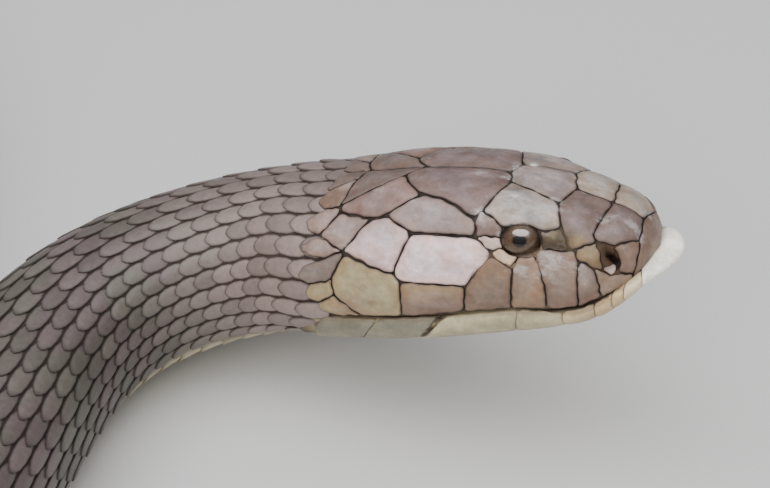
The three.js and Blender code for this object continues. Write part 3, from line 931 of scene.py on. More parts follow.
def lay_shields(piece):
    """The shields' unwrap: each lies at its own place on the head laid flat, with the snout at
    the narrow end. Faces underneath go into a corner."""
    vertex, face = corner_vertices(piece), corner_faces(piece)
    back, turn, rim = noted(piece, "back"), noted(piece, "turn"), noted(piece, "rim")
    across = 0.5 + turn / 180 * 0.36 * np.clip((back + 8) / 30, 0.2, 1)
    down = 0.08 + 0.88 * (back + 6) / HEAD_MAP
    uv = np.stack([across, down], -1)[vertex]
    hidden = np.bincount(face, noted(piece, "under")[vertex])[face] > 0
    uv[hidden] = 0.01 + uv[hidden] * 0.04
    map_corners(piece, uv)


def lower_labial_top(station):
    """The clock angle of the lower lip's upper edge, a gap below the upper lip."""
    back = station + JAW_TIP
    up = upper_lip(back) - lip_gap(station) - jaw_middle(back)
    clock = np.degrees(np.arctan2(jaw_wide(back), up))
    return 80 + (clock - 80) * ease(8, 15, station)


def both_sides(names, table):
    right = [(table[n][0], -table[n][1]) for n in names]
    return (("right", right), ("left", [(s, -c) for s, c in right]))


def across_middle(names, table):
    """A shield's whole outline from the corners of its right half."""
    half = [(table[n][0], -table[n][1]) for n in names]
    return half + [(s, -c) for s, c in reversed(half) if abs(c) % 180]


def make_head_shields(blank):
    made = []
    for name, (corners, tone) in SHIELDS.items():
        names = corners.split()
        for (side, outline), side_tone in zip(both_sides(names, CORNERS), 2 * tone.split()):
            made.append(make_shield(f"{name}_{side}", blank, BODY, outline, names, side_tone))
    for name, (corners, tone) in MIDDLE_SHIELDS.items():
        outline = across_middle(corners.split(), CORNERS)
        made.append(make_shield(name, blank, BODY, outline, (), tone))
    for side, outline in both_sides(NOSTRIL_FLAP, NOSTRIL_FLAP):
        made.append(make_shield(f"nostril_flap_{side}", blank, BODY, outline, (), "bright/rose",
                                seam=0, rise=-0.6))
    shields = join("head_shields", made)
    lay_shields(shields)
    smooth(shields, SHIELD_CREASE)
    return shields


def jaw_pair(name, blank, corners, tone, seam):
    """The right and the left one of a pair of the lower jaw's shields."""
    return [make_shield(f"{name}_{side}", blank, JAW, [(s, sign * c) for s, c in corners], (),
                        tone, seam) for sign, side in ((-1, "right"), (1, "left"))]


def make_jaw_shields(blank):
    outline = across_middle(JAW_CORNERS, JAW_CORNERS)
    made = [make_shield("mental", blank, JAW, outline, (), "bone", MENTAL_SEAM, cap=True)]
    low = LOWER_LABIAL_LOW
    for i, (front, rear) in enumerate(zip(LOWER_LABIALS, LOWER_LABIALS[1:])):
        low_front = low + (FIRST_LABIAL_DROP if i == 0 else 0)
        begin = front + (FOLD_WIDTH if front == LIP_FOLD[0][0] else 0)
        corners = [(begin, lower_labial_top(begin)), (rear, lower_labial_top(rear)),
                   (rear + labial_slant(rear), low), (begin + labial_slant(front), low_front)]
        made += jaw_pair(f"lower_labial_{i + 1}", blank, corners, LOWER_LABIAL_TONES[i],
                         LABIAL_SEAM)
    for i, (front, rear) in enumerate(zip(CHIN_SHIELDS, CHIN_SHIELDS[1:])):
        outer = low + CHIN_STEP * i
        corners = [(front, 180), (front + 0.5, outer), (rear - 1, outer + CHIN_STEP), (rear, 180)]
        made += jaw_pair(f"chin_{i + 1}", blank, corners, "cream", CHIN_SEAM)
    shields = join("jaw_shields", made)
    lay_shields(shields)
    back, left, up = head_place(shields)
    note(shields, "below_lip", upper_lip(back) - up)
    note(shields, "fold", lip_fold(back, left, up, FOLD_REACH))
    smooth(shields, SHIELD_CREASE)
    return shields


# The body's scales: one scale, arrayed along and across, then laid over a length of the body

scale_pitch = through((78, 7.2), (130, 9.2), (300, 10), (700, 11.6), (1200, 13.6), (2200, 14),
                      (3000, 12.8), (3200, 11.6), (3500, 9.4), (3800, 7), (LENGTH, 4))
scale_rows = through((78, 19), (560, 19), (700, 17), (1000, 17), (1150, 15), (2700, 15),
                     (2850, 13), (3200, 12.6), (3330, 10.4), (3600, 8.4), (3850, 6.4),
                     (LENGTH, 4.6))
FIRST_SCALE = 78
LAST_SCALE = 3994
STATION_STEPS = np.arange(FIRST_SCALE, LENGTH + 1)
SCALE_COUNT = np.concatenate([[0], np.cumsum(1 / scale_pitch(STATION_STEPS[:-1] + 0.5))])


def count_of(station):
    """How many scales lie in a row between the first one and a station."""
    return np.interp(station, STATION_STEPS, SCALE_COUNT)


def station_of(count):
    return np.interp(count, SCALE_COUNT, STATION_STEPS)


# The station where the scales begin, by the clock angle
rear_of_shields = through((0, 84), (25, 84), (45, 86), (52, 84.5), (62, 85), (70, 88), (84, 86),
                          (100, 80), (130, 70))

# A scale's edge, in scale pitches back from its middle and scale rows across
SCALE_EDGE = ((0.80, 0.0), (0.71, 0.21), (0.50, 0.39), (0.18, 0.47), (-0.2, 0.47),
              (-0.48, 0.34), (-0.62, 0.0))
ROOT, TIP = SCALE_EDGE[-1][0], SCALE_EDGE[0][0]
SCALE_DOME = 0.3  # mm from a scale's rim up to its middle
SHOULDER_WIDTH = 0.11  # from a scale's edge in to its shoulder
SHOULDER_RISE = 0.6  # of the dome, up to the shoulder
SCALE_UNDER = 0.45  # of the coat's depth, from a scale's rim down to its underside
ROOT_SINK = 1.1  # coat depths from the form down to the root of a scale or plate
SCALE_LIFT = 1.02  # coat depths from a scale's root up to its tip
FRONT_SINK = 0.3  # mm by which the first scales dip under the shields before them
PATCH = 0.003  # how much of the unwrap each scale takes
HIDDEN_STEP = 1.2  # patches from a scale's outside to its underside on the unwrap
FIELD_WIDTH = 0.92  # of the unwrap, across
FIELD_MARGIN = 0.03  # of the unwrap, at each end
FIELD_LAP = 14  # mm by which a field may reach past its first and last station


def make_scale():
    """One scale as a closed shell: a disc with a rim and a raised middle."""
    edge = list(SCALE_EDGE) + [(u, -v) for u, v in SCALE_EDGE[-2:0:-1]]
    bpy.ops.mesh.primitive_cylinder_add(vertices=len(edge), radius=1, depth=1,
                                        end_fill_type="NGON")
    scale = bpy.context.object
    scale.name = "scale"
    co = places(scale)
    turn = np.round(np.arctan2(co[:, 1], co[:, 0]) / (2 * pi) * len(edge)).astype(int)
    outline = np.array(edge)[turn % len(edge)]
    put(scale, np.column_stack([outline, np.where(co[:, 2] > 0, 0, -1)]))
    pick(scale, "FACE", np.ones(len(scale.data.polygons), bool))
    bpy.ops.mesh.normals_make_consistent(inside=False)
    stop_editing()
    pick(scale, "FACE", face_values(scale, "normal")[:, 2] > 0.9)
    bpy.ops.mesh.inset(thickness=SHOULDER_WIDTH, use_even_offset=True)
    bpy.ops.transform.translate(value=(0, 0, SHOULDER_RISE))
    bpy.ops.mesh.poke()
    stop_editing()
    co = places(scale)
    off_middle = np.hypot(co[:, 0] - (ROOT + TIP) / 2, co[:, 1])
    co[np.argmax(co[:, 2] - 10 * off_middle), 2] = 1.0
    put(scale, co)
    return scale


def arrayed(piece, name, along, across, skew=0.5):
    """A field of joined copies. Each row across starts a share of a pitch further back."""
    field = copy_of(piece, name)
    only(field)
    for label, count, step in (("along", along, (1, 0, 0)), ("across", across, (skew, 1, 0))):
        repeat = field.modifiers.new(label, "ARRAY")
        repeat.use_relative_offset = False
        repeat.use_constant_offset = True
        repeat.constant_offset_displace = step
        repeat.count = count
        bpy.ops.object.modifier_apply(modifier=label)
    return field


def drop_copies(field, gone, each):
    """Deletes the marked copies."""
    pick(field, "VERT", np.repeat(gone, each))
    bpy.ops.mesh.delete(type="VERT")
    stop_editing()


def finish_field(field, form, station, clock, local, root, span):
    """What the finish reads at each vertex, and the unwrap: each copy is a small patch at its
    root's place on the skin laid flat."""
    each = len(local) // len(root[0])
    root_back, root_turn = (np.repeat(values, each) for values in root)
    length = np.ptp(local[:, 0])
    note(field, "back", station + form.tip)
    note(field, "clock", np.abs(np.abs((clock + 180) % 360 - 180)))
    note(field, "rim", local[:, 2] > 0.2)
    note(field, "along", (local[:, 0] - local[:, 0].min()) / length)
    note(field, "luck", np.repeat(rng.random(len(root[0])), each))
    vertex, face = corner_vertices(field), corner_faces(field)
    across = 0.5 + (root_turn + 180) % 360 / 360 * FIELD_WIDTH - FIELD_WIDTH / 2
    share = (root_back - span[0] + FIELD_LAP) / (span[1] - span[0] + 2 * FIELD_LAP)
    down = FIELD_MARGIN + (1 - 2 * FIELD_MARGIN) * share
    patch = np.clip(np.stack([local[:, 1], local[:, 0] / length], -1), -0.5, 0.5)
    uv = (np.stack([across, down], -1) + PATCH * patch)[vertex]
    hidden = np.bincount(face, (local[:, 2] < -0.5)[vertex]) > np.bincount(face) - 0.5
    uv[hidden[face]] += (HIDDEN_STEP * PATCH, 0)
    map_corners(field, uv)


def lay_scales(name, scale, form, start, end, station_at, count_at, rows_at, clock_at,
               front_at=None):
    """Scales on a form whose middles lie from start to end. The count of scales from the first
    one gives the station, and the count of rows out from the middle row the clock angle."""
    each = len(scale.data.vertices)
    first, last = count_at(start), count_at(end)
    most = int(rows_at(start)) + 1
    across = 2 * most + 1
    begin = np.floor(first) - 1.5 * most - 2
    along = int(last - first + 1.5 * most) + 5
    field = arrayed(scale, name, along, across)
    local = np.tile(places(scale), (along * across, 1))
    number = np.arange(along * across)
    row = number // along - most
    column = begin + number % along + 0.5 * (number // along)
    middle = station_at(column)
    rows_here = rows_at(middle)
    gone = (column < first) | (column >= last) | (np.abs(row) > rows_here)
    if front_at is not None:
        gone |= middle < front_at(np.abs(clock_at(row, middle)))
    station = station_at(np.repeat(column, each) + local[:, 0])
    clock = clock_at(np.repeat(row, each) + local[:, 1], station)
    depth = coat_depth(station + form.tip)
    share = (local[:, 0] - ROOT) / (TIP - ROOT)
    rise = depth * (SCALE_LIFT * share - ROOT_SINK)
    rise += np.where(local[:, 2] > 0, SCALE_DOME * depth / SCALE_DEPTH * local[:, 2],
                     SCALE_UNDER * depth * local[:, 2])
    if front_at is not None:
        behind = middle - front_at(np.abs(clock_at(row, middle)))
        rise -= FRONT_SINK * np.repeat(1 - ease(0, 5, behind), each)
    put(field, on(form, station, clock, rise))
    turn_outwards(field, along * across)
    finish_field(field, form, station, clock, local, (middle, clock_at(row, middle)),
                 (start, end))
    drop_copies(field, gone, each)
    smooth(field, SCALE_CREASE)
    return field


SPINE_ROW = 0.16  # how much wider the row along the spine is, to each side


def spread(rows_out):
    """Rows out from the back, as rows of even width; the row along the spine is wider."""
    return rows_out + SPINE_ROW * np.tanh(rows_out * 1.4)


def lay_body_scales(name, scale, start, end):
    return lay_scales(
        name, scale, BODY, start, end,
        station_at=station_of,
        count_at=count_of,
        rows_at=lambda station: scale_rows(station) / 2 - 0.3,
        clock_at=lambda row, station: spread(row) / spread(scale_rows(station) / 2) * BELLY_EDGE,
        front_at=rear_of_shields)


GULAR_START, GULAR_END = 50, 104  # the throat's small scales, from the jaw's tip
GULAR_PITCH = 6.4
GULAR_ROWS = 5.6  # to each side of the middle row
GULAR_STEP = 10.2  # degrees from row to row


def lay_gulars(scale):
    return lay_scales(
        "throat_scales", scale, JAW, GULAR_START, GULAR_END,
        station_at=lambda count: GULAR_START + GULAR_PITCH * np.asarray(count),
        count_at=lambda station: (station - GULAR_START) / GULAR_PITCH,
        rows_at=lambda station: GULAR_ROWS + 0 * station,
        clock_at=lambda row, station: 180 + GULAR_STEP * row)


# The broad plates of the belly and under the tail

PLATE_AROUND = 14  # strips across each
PLATE_REACH = 72  # clock degrees up each side from below
PLATE_START = 97  # station of the first one
PAIR_ROOT = 20  # degrees from below at which a paired plate's patch lies on the map
PLATE_LENGTH = 1.35  # in scale pitches, with the lap
PLATE_BOW = 0.22  # pitches by which a whole plate's middle lies further back
PAIR_BOW = 0.5
PAIR_GAP = 0.02  # of the reach, to each side of the line between paired plates
PLATE_LIFT = 0.95  # coat depths from a plate's front edge up to its rear one
PLATE_DROP = 0.5  # coat depths down at its ends
PLATE_UNDER = 0.4  # of the coat's depth, down to its underside


def make_belly_plate():
    """A strip across the belly, one pitch and a lap long and from -0.5 to 0.5 across."""
    bpy.ops.mesh.primitive_cube_add(size=1)
    plate = bpy.context.object
    plate.name = "belly_plate"
    put(plate, places(plate) * (PLATE_LENGTH, 1, 2))
    ends = np.array([edge.vertices for edge in plate.data.edges])
    pick(plate, "EDGE", np.ptp(places(plate)[ends, 1], axis=1) > 0.5)
    bpy.ops.mesh.subdivide_edgering(number_cuts=PLATE_AROUND - 1, smoothness=0)
    stop_editing()
    return plate


def lay_belly_plates(name, plate, start, end, sides=1):
    each = len(plate.data.vertices)
    first = int(np.ceil(count_of(start)))
    count = int(np.ceil(count_of(end))) - first
    field = arrayed(plate, name, count, sides, skew=0)
    local = np.tile(places(plate), (count * sides, 1))
    number = np.arange(count * sides)
    column = first + number % count + 0.5 * (number // count)
    turn = local[:, 1] * 2
    if sides == 2:
        side = np.repeat(np.where(number // count == 0, -1, 1), each)
        turn = side * (PAIR_GAP + (1 - PAIR_GAP) * (local[:, 1] + 0.5))
    out = np.abs(turn)
    bow = PLATE_BOW * (1 - turn ** 2) if sides == 1 else PAIR_BOW * out * (1 - out)
    station = station_of(np.repeat(column, each) + local[:, 0] + bow)
    clock = 180 + turn * PLATE_REACH
    share = local[:, 0] / PLATE_LENGTH + 0.5
    depth = coat_depth(station)
    rise = depth * (PLATE_LIFT * share - ROOT_SINK - PLATE_DROP * out ** 6)
    rise -= np.where(local[:, 2] > 0, 0, PLATE_UNDER * depth)
    put(field, on(BODY, station, clock, rise))
    turn_outwards(field, count * sides)
    across = np.where(number // count == 0, -PAIR_ROOT, PAIR_ROOT) if sides == 2 else 0 * number
    root = (station_of(column), 180 + across)
    finish_field(field, BODY, station, clock, local, root, (start, end))
    smooth(field, PLATE_CREASE)
    return field


# The eyes

def make_eye(side):
    """An eyeball under its clear cap, with its pole along the eye's axis."""
    back, left, up = (v[0] for v in BODY.surface([EYE_STATION], [side * EYE_CLOCK]))
    look = unit(np.array(EYE_LOOK) * (1, side, 1))
    middle = np.array([-back - EYE_SHIFT[0], left, up + EYE_SHIFT[1]]) - look * EYE_DEPTH
    bpy.ops.mesh.primitive_uv_sphere_add(segments=48, ring_count=36, radius=EYE_RADIUS)
    eye = bpy.context.object
    eye.name = "eye_ball_left" if side > 0 else "eye_ball_right"
    co = places(eye)
    off_axis = np.degrees(np.arccos(np.clip(co[:, 2] / EYE_RADIUS, -1, 1)))
    co *= 1 + (np.array(EYE_SQUASH) - 1) * ease(*EYE_SQUASH_EASE, off_axis)[:, None]
    reach = np.hypot(co[:, 0] + side * EYE_GAZE[0], (co[:, 1] - EYE_GAZE[1]) / PUPIL_SQUASH)
    seen = np.degrees(np.arcsin(np.clip(reach / EYE_RADIUS, 0, 1)))
    off_axis = np.where(off_axis < 90, seen, 180 - seen)
    fore = unit(np.cross((0, 0, 1), look))
    swing = np.stack([fore, np.cross(look, fore), look])
    co = co @ swing + middle
    put(eye, world(-co[:, 0], co[:, 1], co[:, 2]))
    note(eye, "off_axis", off_axis)
    smooth(eye)
    return eye


# Finishes

class Finish:
    """A material's node tree, with short ways to add its usual nodes."""

    def __init__(self, name, **sockets):
        self.material = bpy.data.materials.new(name)
        self.material.use_nodes = True
        self.tree = self.material.node_tree
        self.shader = self.tree.nodes["Principled BSDF"]
        for socket, value in sockets.items():
            self.shader.inputs[socket.replace("_", " ")].default_value = value
        self.object_place = self.add("ShaderNodeTexCoord").outputs["Object"]

    def add(self, kind, inputs=(), **settings):
        node = self.tree.nodes.new(kind)
        for key, value in settings.items():
            setattr(node, key, value)
        for key, value in dict(inputs).items():
            if isinstance(value, bpy.types.NodeSocket):
                self.tree.links.new(value, node.inputs[key])
            else:
                node.inputs[key].default_value = value
        return node

    def mark(self, name):
        return self.add("ShaderNodeAttribute", attribute_name=name).outputs["Fac"]

    def sum(self, operation, a, b=0.0, c=0.0):
        return self.add("ShaderNodeMath", {0: a, 1: b, 2: c}, operation=operation).outputs[0]

    def times(self, a, b):
        return self.sum("MULTIPLY", a, b)

    def times_plus(self, a, b, c):
        return self.sum("MULTIPLY_ADD", a, b, c)

    def noise(self, size, detail=3.0, roughness=0.5, stretch=None):
        """Noise whose features are about size mm across."""
        vector = self.object_place
        if stretch is not None:
            vector = self.add("ShaderNodeMapping", {"Vector": vector, "Scale": stretch}).outputs[0]
        return self.add("ShaderNodeTexNoise", {"Vector": vector, "Scale": 1000 / size,
                        "Detail": detail, "Roughness": roughness}).outputs["Fac"]

    def over(self, value, low, high, to_low=0.0, to_high=1.0):
        return self.add("ShaderNodeMapRange", {0: value, 1: low, 2: high, 3: to_low, 4: to_high},
                        interpolation_type="SMOOTHSTEP").outputs[0]

    def blend(self, factor, a, b, how="MIX"):
        node = self.add("ShaderNodeMix", {0: factor}, data_type="RGBA", blend_type=how)
        for index, value in ((6, a), (7, b)):
            if isinstance(value, bpy.types.NodeSocket):
                self.tree.links.new(value, node.inputs[index])
            else:
                node.inputs[index].default_value = (*value, 1)
        return node.outputs[2]

    def tinted(self, colour, tint):
        return self.blend(1.0, colour, tint, "MULTIPLY")

    def combined(self, red, green, blue):
        """A colour from its channels, or a grey from one shade given for all three."""
        return self.add("ShaderNodeCombineColor", {"Red": red, "Green": green,
                                                   "Blue": blue}).outputs[0]

    def colour(self, socket):
        self.tree.links.new(socket, self.shader.inputs["Base Color"])

    def rough(self, socket):
        self.tree.links.new(socket, self.shader.inputs["Roughness"])

    def relief(self, height, depth):
        """Bump from a height, with its depth in mm."""
        bump = self.add("ShaderNodeBump", {"Height": height, "Distance": depth * MM,
                        "Strength": 1.0})
        self.tree.links.new(bump.outputs[0], self.shader.inputs["Normal"])


BACK_OLIVE = (0.098, 0.087, 0.072)
BACK_MAUVE = (0.108, 0.083, 0.078)
BACK_DARK = (0.05, 0.04, 0.035)
NAPE = (0.19, 0.145, 0.13)
BAND_PALE = (0.23, 0.20, 0.145)
BELLY_CREAM = (0.52, 0.45, 0.30)
BELLY_GREY = (0.21, 0.19, 0.155)
TAIL_BLACK = (0.03, 0.026, 0.023)
BAND_SPACING = 112
BAND_WIDTH = 0.2  # of the spacing, to each side of a band's middle


def markings(finish):
    """The colour of skin and scales by their place on the animal."""
    back, clock = finish.mark("back"), finish.mark("clock")
    blotch = finish.noise(22, 4)
    base = finish.blend(finish.over(blotch, 0.42, 0.58), BACK_OLIVE, BACK_MAUVE)
    base = finish.blend(finish.over(back, 170, 92), base, NAPE)
    base = finish.blend(finish.over(back, 1500, 3900, 0, 0.75), base, TAIL_BLACK)
    slant = finish.times_plus(clock, -0.42, back)
    uneven = finish.times_plus(blotch, 26, slant)
    phase = finish.sum("FRACT", finish.sum("DIVIDE", uneven, BAND_SPACING))
    wave = finish.sum("ABSOLUTE", finish.sum("SUBTRACT", phase, 0.5))
    band = finish.over(wave, BAND_WIDTH, BAND_WIDTH * 0.35)
    strength = finish.over(back, 350, 1700, 0.0, 0.62)
    base = finish.blend(finish.times(band, strength), base, BAND_PALE)
    belly = finish.blend(finish.over(back, 350, 2200), BELLY_CREAM, BELLY_GREY)
    mottle = finish.over(finish.noise(9, 5), 0.46, 0.62)
    mottled = finish.times(mottle, finish.over(back, 150, 1200, 0.12, 0.75))
    belly = finish.blend(mottled, belly, BACK_DARK)
    ragged = finish.times_plus(finish.noise(14, 3), 10, clock)
    return finish.blend(finish.over(ragged, BELLY_EDGE - 2, BELLY_EDGE + 14), base, belly)


SKIN_TINT = (0.30, 0.27, 0.25)  # of the scales' own colour
HEAD_SKIN = ((0.012, 0.009, 0.008), (0.04, 0.028, 0.022))
JAW_SKIN = (0.40, 0.33, 0.21)
MOUTH_PAINTED_SHADE = (0.02, 0.013, 0.009)
LID = (0.40, 0.29, 0.21)
FAINT_SEAM = (0.12, 0.093, 0.06)
NOSTRIL_RIM = (0.07, 0.042, 0.027)
NOSTRIL_PAINTED_SHADE = (0.012, 0.007, 0.005)


def skin_finish():
    """Skin shows only as fine dark lines between the scales, and pale ones under the jaw."""
    finish = Finish("skin", Roughness=0.75, Specular_IOR_Level=0.25)
    dark = finish.tinted(markings(finish), SKIN_TINT)
    head = finish.blend(finish.over(finish.noise(3), 0.35, 0.65), *HEAD_SKIN)
    on_head = finish.over(finish.mark("back"), 104, 84)
    colour = finish.blend(on_head, dark, head)
    # mouth is painted shade in the gap between the lips and in the fold behind the lower lip
    for name, tone in (("jaw", JAW_SKIN), ("mouth", MOUTH_PAINTED_SHADE), ("lid", LID)):
        colour = finish.blend(finish.mark(name), colour, tone)
    colour = finish.blend(finish.times(finish.mark("faint"), 0.8), colour, FAINT_SEAM)
    # The nostril's bowl is partly painted shade; its hole and slit are painted shade, near black
    nostril = finish.mark("nostril")
    colour = finish.blend(finish.over(nostril, 0, 0.4), colour, NOSTRIL_RIM)
    colour = finish.blend(finish.over(nostril, 0.75, 1), colour, NOSTRIL_PAINTED_SHADE)
    finish.colour(colour)
    finish.relief(finish.noise(0.5), 0.06)
    return finish.material


SCUFFS_AND_GLINTS = (  # worn pale patches, some of them painted glints: station, clock, reach in mm, strength
    (36, 3, 3, 0.8), (36.5, 9, 2.5, 0.8), (36, -6, 3, 0.8), (32.4, -23, 5, 0.9), (34, -20, 3, 0.9),
    (29, -29, 8, 0.75), (30, -8, 6, 0.5), (34.4, -27, 3, 0.9), (25, -22, 6, 0.7), (26, -12, 5, 0.4),
    (18.3, 15, 6, 0.7), (15, 15, 4, 0.8), (20, 28, 5, 0.6), (40.5, -32, 3, 0.85), (39, -38, 3, 0.5),
    (45, -5, 4, 0.5), (12, -28, 5, 0.5), (8, -30, 3.5, 0.75), (7, 20, 5, 0.6), (6.5, -40, 2.5, 0.7),
    (34.8, -40, 2, 0.6), (30.3, -61, 4, 0.6), (24, -58, 6, 0.65), (17, -60, 4, 0.6),
    (77, -50, 2.5, 0.6), (78, -33, 2.5, 0.6), (63, -66, 2.5, 0.5), (70, -20, 3, 0.6),
    (55, -10, 6, 0.35), (58, -30, 5, 0.4), (52, -48, 7, 0.3), (72, -70, 4, 0.35),
    (60, 20, 8, 0.4), (40, 25, 6, 0.5), (30, 30, 7, 0.6), (50, 50, 9, 0.3), (22, 55, 6, 0.5),
    (32.6, 11.3, 1.9, 0.95),
)
PATCHES = (  # places of another tone: station, clock, reach in mm, tone
    (17.7, 43, 2.6, "khaki"), (15.6, 46.5, 2.2, "straw"), (22.5, 39.5, 1.6, "sand"),
    (31.8, 27.5, 1.8, "moss"), (27, 33, 2.4, "drab"), (30.6, 64, 2.2, "fawn"),
    (32.4, 18.6, 4.4, "drab"), (28.3, 7.7, 2, "ash"), (34.9, 28.8, 1.6, "cream"),
    (29, 58, 1.6, "taupe"), (77, 84, 5, "tan"), (53, 78, 2, "taupe"),
)
FAINT_SEAMS = (  # where skin and shields run together: station, clock, reach in mm
    (19.8, 42, 2.2), (18, 46.5, 1.6), (27, 60, 2.2), (36.5, 57, 1.5), (39, 60, 4),
)


def near(co, station, clock, reach):
    """How near each place is to a spot on the form, from 0 to 1."""
    return np.exp(-(np.linalg.norm(co - on(BODY, station, clock) / MM, axis=1) / reach) ** 2)


def near_either(co, station, clock, reach):
    """The same for a spot that is on both sides."""
    return np.maximum(near(co, station, -clock, reach), near(co, station, clock, reach))


def mark_wear(shields):
    """How worn each vertex of the shields is, with painted glints among the worn spots, and where
    their tones change.
    """
    co = places(shields) / MM
    worn = [strength * near(co, *spot) for *spot, strength in SCUFFS_AND_GLINTS]
    note(shields, "worn", np.max(worn, axis=0))
    for *spot, tone in PATCHES:
        share = near_either(co, *spot)
        for channel, value in zip("rgb", TONES[tone]):
            kept = noted(shields, "tone_" + channel)
            note(shields, "tone_" + channel, kept + (value - kept) * share)


def mark_faint(piece):
    """Where the seams between the shields fade."""
    co = places(piece) / MM
    note(piece, "faint", np.max([near_either(co, *spot) for spot in FAINT_SEAMS], axis=0))


STAIN = (0.3, 0.23, 0.13)
PALE_EDGE = (0.22, 0.17, 0.10)
LIP_PAINTED_SHADE = (0.12, 0.082, 0.05)
FOLD_PAINTED_SHADE = (0.03, 0.024, 0.014)
BROWN_MOTTLE_AND_SHADE_TINT = (0.78, 0.64, 0.54)  # of the shield's own tone, for brown mottling and for painted shade towards the rim
RIM_BROWN = (0.06, 0.042, 0.034)
RIM_DARK = (0.016, 0.012, 0.010)
FLAKE_AND_GLINT = (0.42, 0.39, 0.37)
CHIP_AND_GLINT = (0.55, 0.52, 0.49)
SCALE_RIM_TINT = (0.35, 0.33, 0.32)  # of the scale's own colour


def shield_finish(name, pale=False):
    """Satin horn: clouded in tone, darker towards its seams, partly as painted shade, with scuffs,
    painted glints and fine scratches.
    """
    finish = Finish(name, IOR=1.5)
    tone = finish.combined(*(finish.mark("tone_" + channel) for channel in "rgb"))
    cloud = finish.noise(7, 5, 0.65)
    fine = finish.noise(1.4, 4, 0.6)
    streaks = finish.noise(3, 5, 0.6, stretch=(0.35, 1.3, 1.3))
    shade = finish.over(cloud, 0.3, 0.7, 0.78, 1.2)
    shade = finish.times(shade, finish.over(fine, 0.3, 0.7, 0.93, 1.07))
    shade = finish.times(shade, finish.over(streaks, 0.3, 0.7, 0.92, 1.08))
    shade = finish.times(shade, finish.over(finish.mark("luck"), 0, 1, 0.96, 1.04))
    colour = finish.tinted(tone, finish.combined(shade, shade, shade))
    rim = finish.mark("rim")
    if pale:
        stain = finish.over(finish.noise(5, 6, 0.7), 0.52, 0.7, 0, 0.25)
        colour = finish.blend(stain, colour, STAIN)
        edge = finish.blend(0.3, colour, PALE_EDGE)
        colour = finish.blend(finish.over(rim, 0.0, 0.5), edge, colour)
        # Painted shade on the lower labials just under the upper lip's edge
        lip = finish.times_plus(finish.noise(8, 2), -2.0, finish.mark("below_lip"))
        lip = finish.times(finish.over(lip, 1.0, -0.2),
                         finish.over(finish.mark("back"), 2, 8))
        colour = finish.blend(finish.times(lip, 0.5), colour, LIP_PAINTED_SHADE)
        # Painted shade in the fold behind the lower lip
        fold = finish.times_plus(finish.noise(1.2, 3), 0.8, finish.mark("fold"))
        colour = finish.blend(finish.over(fold, 0.7, 1.15), colour, FOLD_PAINTED_SHADE)
    else:
        brown = finish.tinted(colour, BROWN_MOTTLE_AND_SHADE_TINT)
        colour = finish.blend(finish.over(finish.noise(5, 4), 0.45, 0.7, 0, 0.75), colour, brown)
        # Painted shade: browner towards the rim, as shade on a rounded shield
        inner = finish.over(finish.mark("inner"), 0.45, 0.0, 0, 0.6)
        colour = finish.blend(inner, colour, brown)
        rim = finish.sum("MAXIMUM", rim, finish.over(finish.mark("faint"), 0.1, 0.7, 0, 0.9))
        colour = finish.blend(finish.over(rim, 1.0, 0.55, 0, 0.55), colour, RIM_BROWN)
        colour = finish.blend(finish.over(rim, 0.6, 0.1), colour, RIM_DARK)
        # Pale flakes and chips where worn; some of them are painted glints
        worn = finish.mark("worn")
        ragged = finish.noise(2.8, 7, 0.7, stretch=(0.7, 1.2, 1.2))
        flakes = finish.over(finish.times_plus(worn, 0.36, ragged), 0.62, 0.86)
        colour = finish.blend(finish.times(flakes, 0.6), colour, FLAKE_AND_GLINT)
        bare = finish.over(worn, 0.55, 0.85)
        edge = finish.times(finish.over(rim, 1.0, 0.7), bare)
        chips = finish.times_plus(bare, 0.18, finish.noise(2.2, 5, 0.65))
        chips = finish.over(finish.times_plus(edge, 0.1, chips), 0.7, 0.82, 0, 0.85)
        colour = finish.blend(chips, colour, CHIP_AND_GLINT)
    finish.colour(colour)
    finish.rough(finish.over(finish.noise(2.5, 5), 0.25, 0.75, 0.30, 0.52))
    height = finish.times_plus(streaks, 0.8, finish.noise(0.8, 4))
    height = finish.times_plus(finish.noise(4.5, 2), 3.5, height)
    finish.relief(height, 0.10)
    return finish.material


def scale_finish(name):
    """Smooth satin scales: paler along the middle and dark at the rim."""
    finish = Finish(name, IOR=1.5)
    base = markings(finish)
    luck = finish.over(finish.mark("luck"), 0, 1, 0.86, 1.18)
    fine = finish.noise(1.8, 4, 0.6)
    shade = finish.times(luck, finish.over(fine, 0.3, 0.7, 0.9, 1.1))
    colour = finish.tinted(base, finish.combined(shade, shade, shade))
    dark = finish.tinted(base, SCALE_RIM_TINT)
    colour = finish.blend(finish.over(finish.mark("rim"), 0.9, 0.0, 0, 0.85), colour, dark)
    tip = finish.over(finish.mark("along"), 0.8, 1.0, 0, 0.45)
    colour = finish.blend(tip, colour, dark)
    finish.colour(colour)
    finish.rough(finish.over(fine, 0.25, 0.75, 0.36, 0.52))
    finish.relief(finish.noise(0.8, 4), 0.07)
    return finish.material


PUPIL_EDGE = 14.5  # degrees off the eye's axis
IRIS_EDGE = 40
IRIS = ((0.05, 0.028, 0.016), (0.09, 0.055, 0.032))
IRIS_OUTER = (0.022, 0.014, 0.01)
PUPIL_RING = (0.03, 0.013, 0.008)
PUPIL_BLACK = (0.003, 0.002, 0.002)


